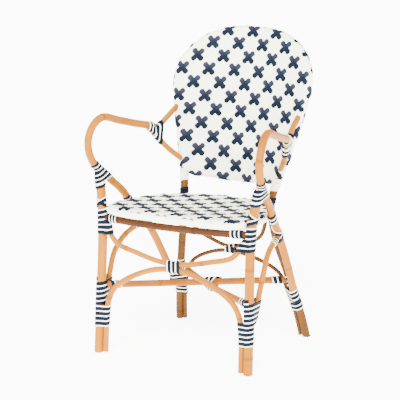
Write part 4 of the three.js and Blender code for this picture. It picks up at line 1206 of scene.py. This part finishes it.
def side_bindings(side, sign):
    def of_side(points):
        return on_side(sign, points)

    def lower_half(line):
        return of_side(line)[:len(line) // 2]

    leg, arm, brace = (of_side(line) for line in (LEG, ARM, BRACE))
    half = len(BRACKET) // 2
    limbs = [(of_side(BRACKET[:half + 1]), BRACKET_RADIUS), (of_side(BRACKET[half:]), BRACKET_RADIUS)]
    upper = (lower_half(UPPER_ARCH), UPPER_ARCH_RADIUS)
    lower = (lower_half(LOWER_ARCH), LOWER_ARCH_RADIUS)
    rear_lower = (lower_half(REAR_LOWER), REAR_ARCH_RADIUS)
    leg_pole, arm_pole, brace_pole = (leg, LEG_RADIUS), (arm, ARM_RADIUS), (brace, BRACE_RADIUS)
    hoop_pole = (lower_half(HOOP), HOOP_RADIUS)
    up_leg, up_arm, up_hoop = up_pole(leg), up_pole(arm), up_pole(hoop_pole[0])
    inside_back = of_side((-0.4, 1, 0))

    def foot_poles(at):
        return [leg_pole, lower if at < FOOT_BRACE_FROM else brace_pole]

    bound(f"front_foot_wrap_{side}", f"front_foot_binding_{side}",
          wound(up_leg, foot_poles, inside_back, FRONT_FOOT[side], white_first=True))
    bound(f"front_upper_wrap_{side}", f"front_upper_binding_{side}",
          wound(up_leg, [leg_pole, upper], inside_back, FRONT_UPPER))
    inside_front = of_side((-1, -0.3, 0))
    bound(f"rear_foot_wrap_{side}", f"rear_foot_binding_{side}",
          wound(up_hoop, [hoop_pole, rear_lower], inside_front, REAR_FOOT_LOW, white_first=True),
          wound(up_hoop, [hoop_pole, rear_lower, arm_pole], inside_front, REAR_FOOT_MIDDLE),
          wound(up_hoop, [hoop_pole], inside_front, REAR_FOOT_TOP))

    leg_top, arm_bend = at_height(LEG, 0.538 * HOOP_HEIGHT), at_height(ARM, 0.612 * HOOP_HEIGHT)
    length = np.linalg.norm(arm_bend - leg_top)
    turns = [(0, (0.15, -0.05, 1)), (0.3, (0.16, -0.18, 0.97)), (1, (0.2, -0.36, 0.9))]
    fan = fanned([(share * length, of_side(leg_top + (arm_bend - leg_top) * share), unit(of_side(normal)))
                  for share, normal in turns])
    behind = of_side((-0.3, 1, 0))
    near_arm = (arm[(arm[:, 2] > 440) & (arm[:, 1] < 190)], ARM_RADIUS)
    bound(f"arm_front_wrap_{side}", f"arm_front_binding_{side}",
          wound(fan, [leg_pole], behind, ARM_FRONT_LOW),
          wound(fan, [leg_pole, near_arm], behind, ARM_FRONT_TOP, white_first=True))

    ahead, opens = unit(ARM[-1] - ARM[-8]), unit(BRACKET_OPENS)
    turns = [(0, ARM[-9], ahead), (28, ARM[-1], ahead + opens), (56, BRACKET_TIP + opens * 25, opens)]
    fan = fanned([(distance, of_side(point), of_side(unit(normal))) for distance, point, normal in turns])
    under_arm = (of_side(np.linspace(ARM[-7] - Z * 4, BRACKET_TIP, 12)), BRACKET_RADIUS)
    bound(f"arm_rear_wrap_{side}", f"arm_rear_binding_{side}",
          wound(fan, [*limbs, (arm[-12:], ARM_RADIUS), under_arm], (-1, 0.4, 0), ARM_REAR, white_first=True))

    rail_end = straight(of_side(RAIL_END), of_side(INWARD))
    bound(f"rail_end_wrap_{side}", f"rail_end_binding_{side}",
          wound(rail_end, [(RAIL, RAIL_RADIUS)], Y, RAIL_ENDS), slot="white_strand")

    outside, straps_at = of_side((0.8, -0.6, 0)), brace[-1][2] + BRACE_STRAPS_UP
    bound(f"brace_top_wrap_{side}", f"brace_top_binding_{side}",
          wound(straight(brace[-1], brace[-8] - brace[-1]), [brace_pole], Z, BRACE_TOP),
          crossed(up_arm, arm_pole, outside, straps_at, **BRACE_STRAPS))
    outside, straps_at = of_side((0.5, -0.85, 0)), SEAT_CORNER[2] + CORNER_STRAPS_UP
    bound(f"front_corner_wrap_{side}", f"front_corner_strap_{side}",
          crossed(up_leg, leg_pole, outside, straps_at, **CORNER_STRAPS))
    bound(f"seat_side_wrap_{side}", f"seat_side_strap_{side}",
          wound(up_arm, [arm_pole], of_side(INWARD), moved(SEAT_SIDE, STRAP_POINT[2]), white_first=True))
    bound(f"upright_white_wrap_{side}", f"upright_wrap_{side}",
          wound(up_hoop, [hoop_pole], inside_back, UPRIGHT, white_first=True), slot="white_strand", only=1)
    band = SEAT_REAR[2] + SEAT_WRAP + POLE_SPACING
    bound(f"rear_corner_wrap_{side}", f"rear_corner_band_{side}",
          wound(up_hoop, [hoop_pole], inside_back, moved(REAR_CORNER, band)), only=0)


def middle_bindings():
    arches = [(UPPER_ARCH, UPPER_ARCH_RADIUS), (LOWER_ARCH, LOWER_ARCH_RADIUS)]
    bound("arch_wrap", "arch_tie", wound(straight(ARCH_MEET, X), arches, Y, ARCH_TIE, white_first=True))
    arches = [(REAR_UPPER, REAR_ARCH_RADIUS), (REAR_LOWER, REAR_ARCH_RADIUS)]
    bound("rear_arch_wrap", "rear_arch_tie",
          wound(straight(REAR_MEET, X), arches, -Y, REAR_ARCH_TIE, white_first=True))
    for name, line, start in [
        ("front_right", STRAIGHT_STRETCHER, 0.4), ("rear_left", STRAIGHT_STRETCHER[::-1], 11),
        ("front_left", SPRUNG_STRETCHER, 0.4), ("rear_right", SPRUNG_STRETCHER[::-1], 11),
    ]:
        from_end = straight(line[0], line[8] - line[0])
        bound(f"stretcher_wrap_{name}", f"stretcher_binding_{name}",
              wound(from_end, [(line, STRETCHER_RADIUS)], -Z, moved(STRETCHER_END, start)))
    crossing = straight(section(STRAIGHT_STRETCHER, STRETCHER_RADIUS, np.zeros(3), X)[0], X)
    both = [(STRAIGHT_STRETCHER, STRETCHER_RADIUS), (SPRUNG_STRETCHER, STRETCHER_RADIUS)]
    bound("stretcher_crossing_wrap", "stretcher_tie", wound(crossing, both, -Z, STRETCHER_TIE))


for hand, hand_sign in SIDES:
    side_bindings(hand, hand_sign)
middle_bindings()


# Camera, floor and light

CAMERA_LENS = 196.3
CAMERA_PLACE = (3.0335, -5.64285, 1.8728)
CAMERA_AZIMUTH = math.radians(28.632)
CAMERA_ELEVATION = math.radians(12.565)
FLOOR_HALF = 12000
FLOOR_GLOW = 7.4
WORLD_STRENGTH = 2.0
KEY_STRENGTH = 14
KEY_SOFTNESS = math.radians(35)
KEY_TILT = math.radians(48)
KEY_TURN = math.radians(22)


def make_camera():
    data = bpy.data.cameras.new("camera")
    data.sensor_width = 36
    data.lens = CAMERA_LENS
    camera = bpy.data.objects.new("camera", data)
    bpy.context.scene.collection.objects.link(camera)
    camera.location = CAMERA_PLACE
    camera.rotation_euler = (math.pi / 2 - CAMERA_ELEVATION, 0, CAMERA_AZIMUTH)
    bpy.context.scene.camera = camera


def make_floor():
    corners = [(-FLOOR_HALF, -FLOOR_HALF, 0), (FLOOR_HALF, -FLOOR_HALF, 0),
               (FLOOR_HALF, FLOOR_HALF, 0), (-FLOOR_HALF, FLOOR_HALF, 0)]
    pale = moulded("pale floor", (0.97, 0.97, 0.97, 1), 0.9)
    glow = pale.node_tree.nodes["Principled BSDF"].inputs
    glow["Emission Color"].default_value = (1, 1, 1, 1)
    glow["Emission Strength"].default_value = FLOOR_GLOW
    new_piece("floor", corners, [(0, 1, 2, 3)], [pale])


def make_light():
    world = bpy.data.worlds.new("studio")
    world.use_nodes = True
    backdrop = world.node_tree.nodes["Background"].inputs
    backdrop[0].default_value = (1, 1, 1, 1)
    backdrop[1].default_value = WORLD_STRENGTH
    bpy.context.scene.world = world
    data = bpy.data.lights.new("key", "SUN")
    data.energy = KEY_STRENGTH
    data.angle = KEY_SOFTNESS
    light = bpy.data.objects.new("key", data)
    bpy.context.scene.collection.objects.link(light)
    light.rotation_euler = (KEY_TILT, 0, KEY_TURN)


make_camera()
make_floor()
make_light()
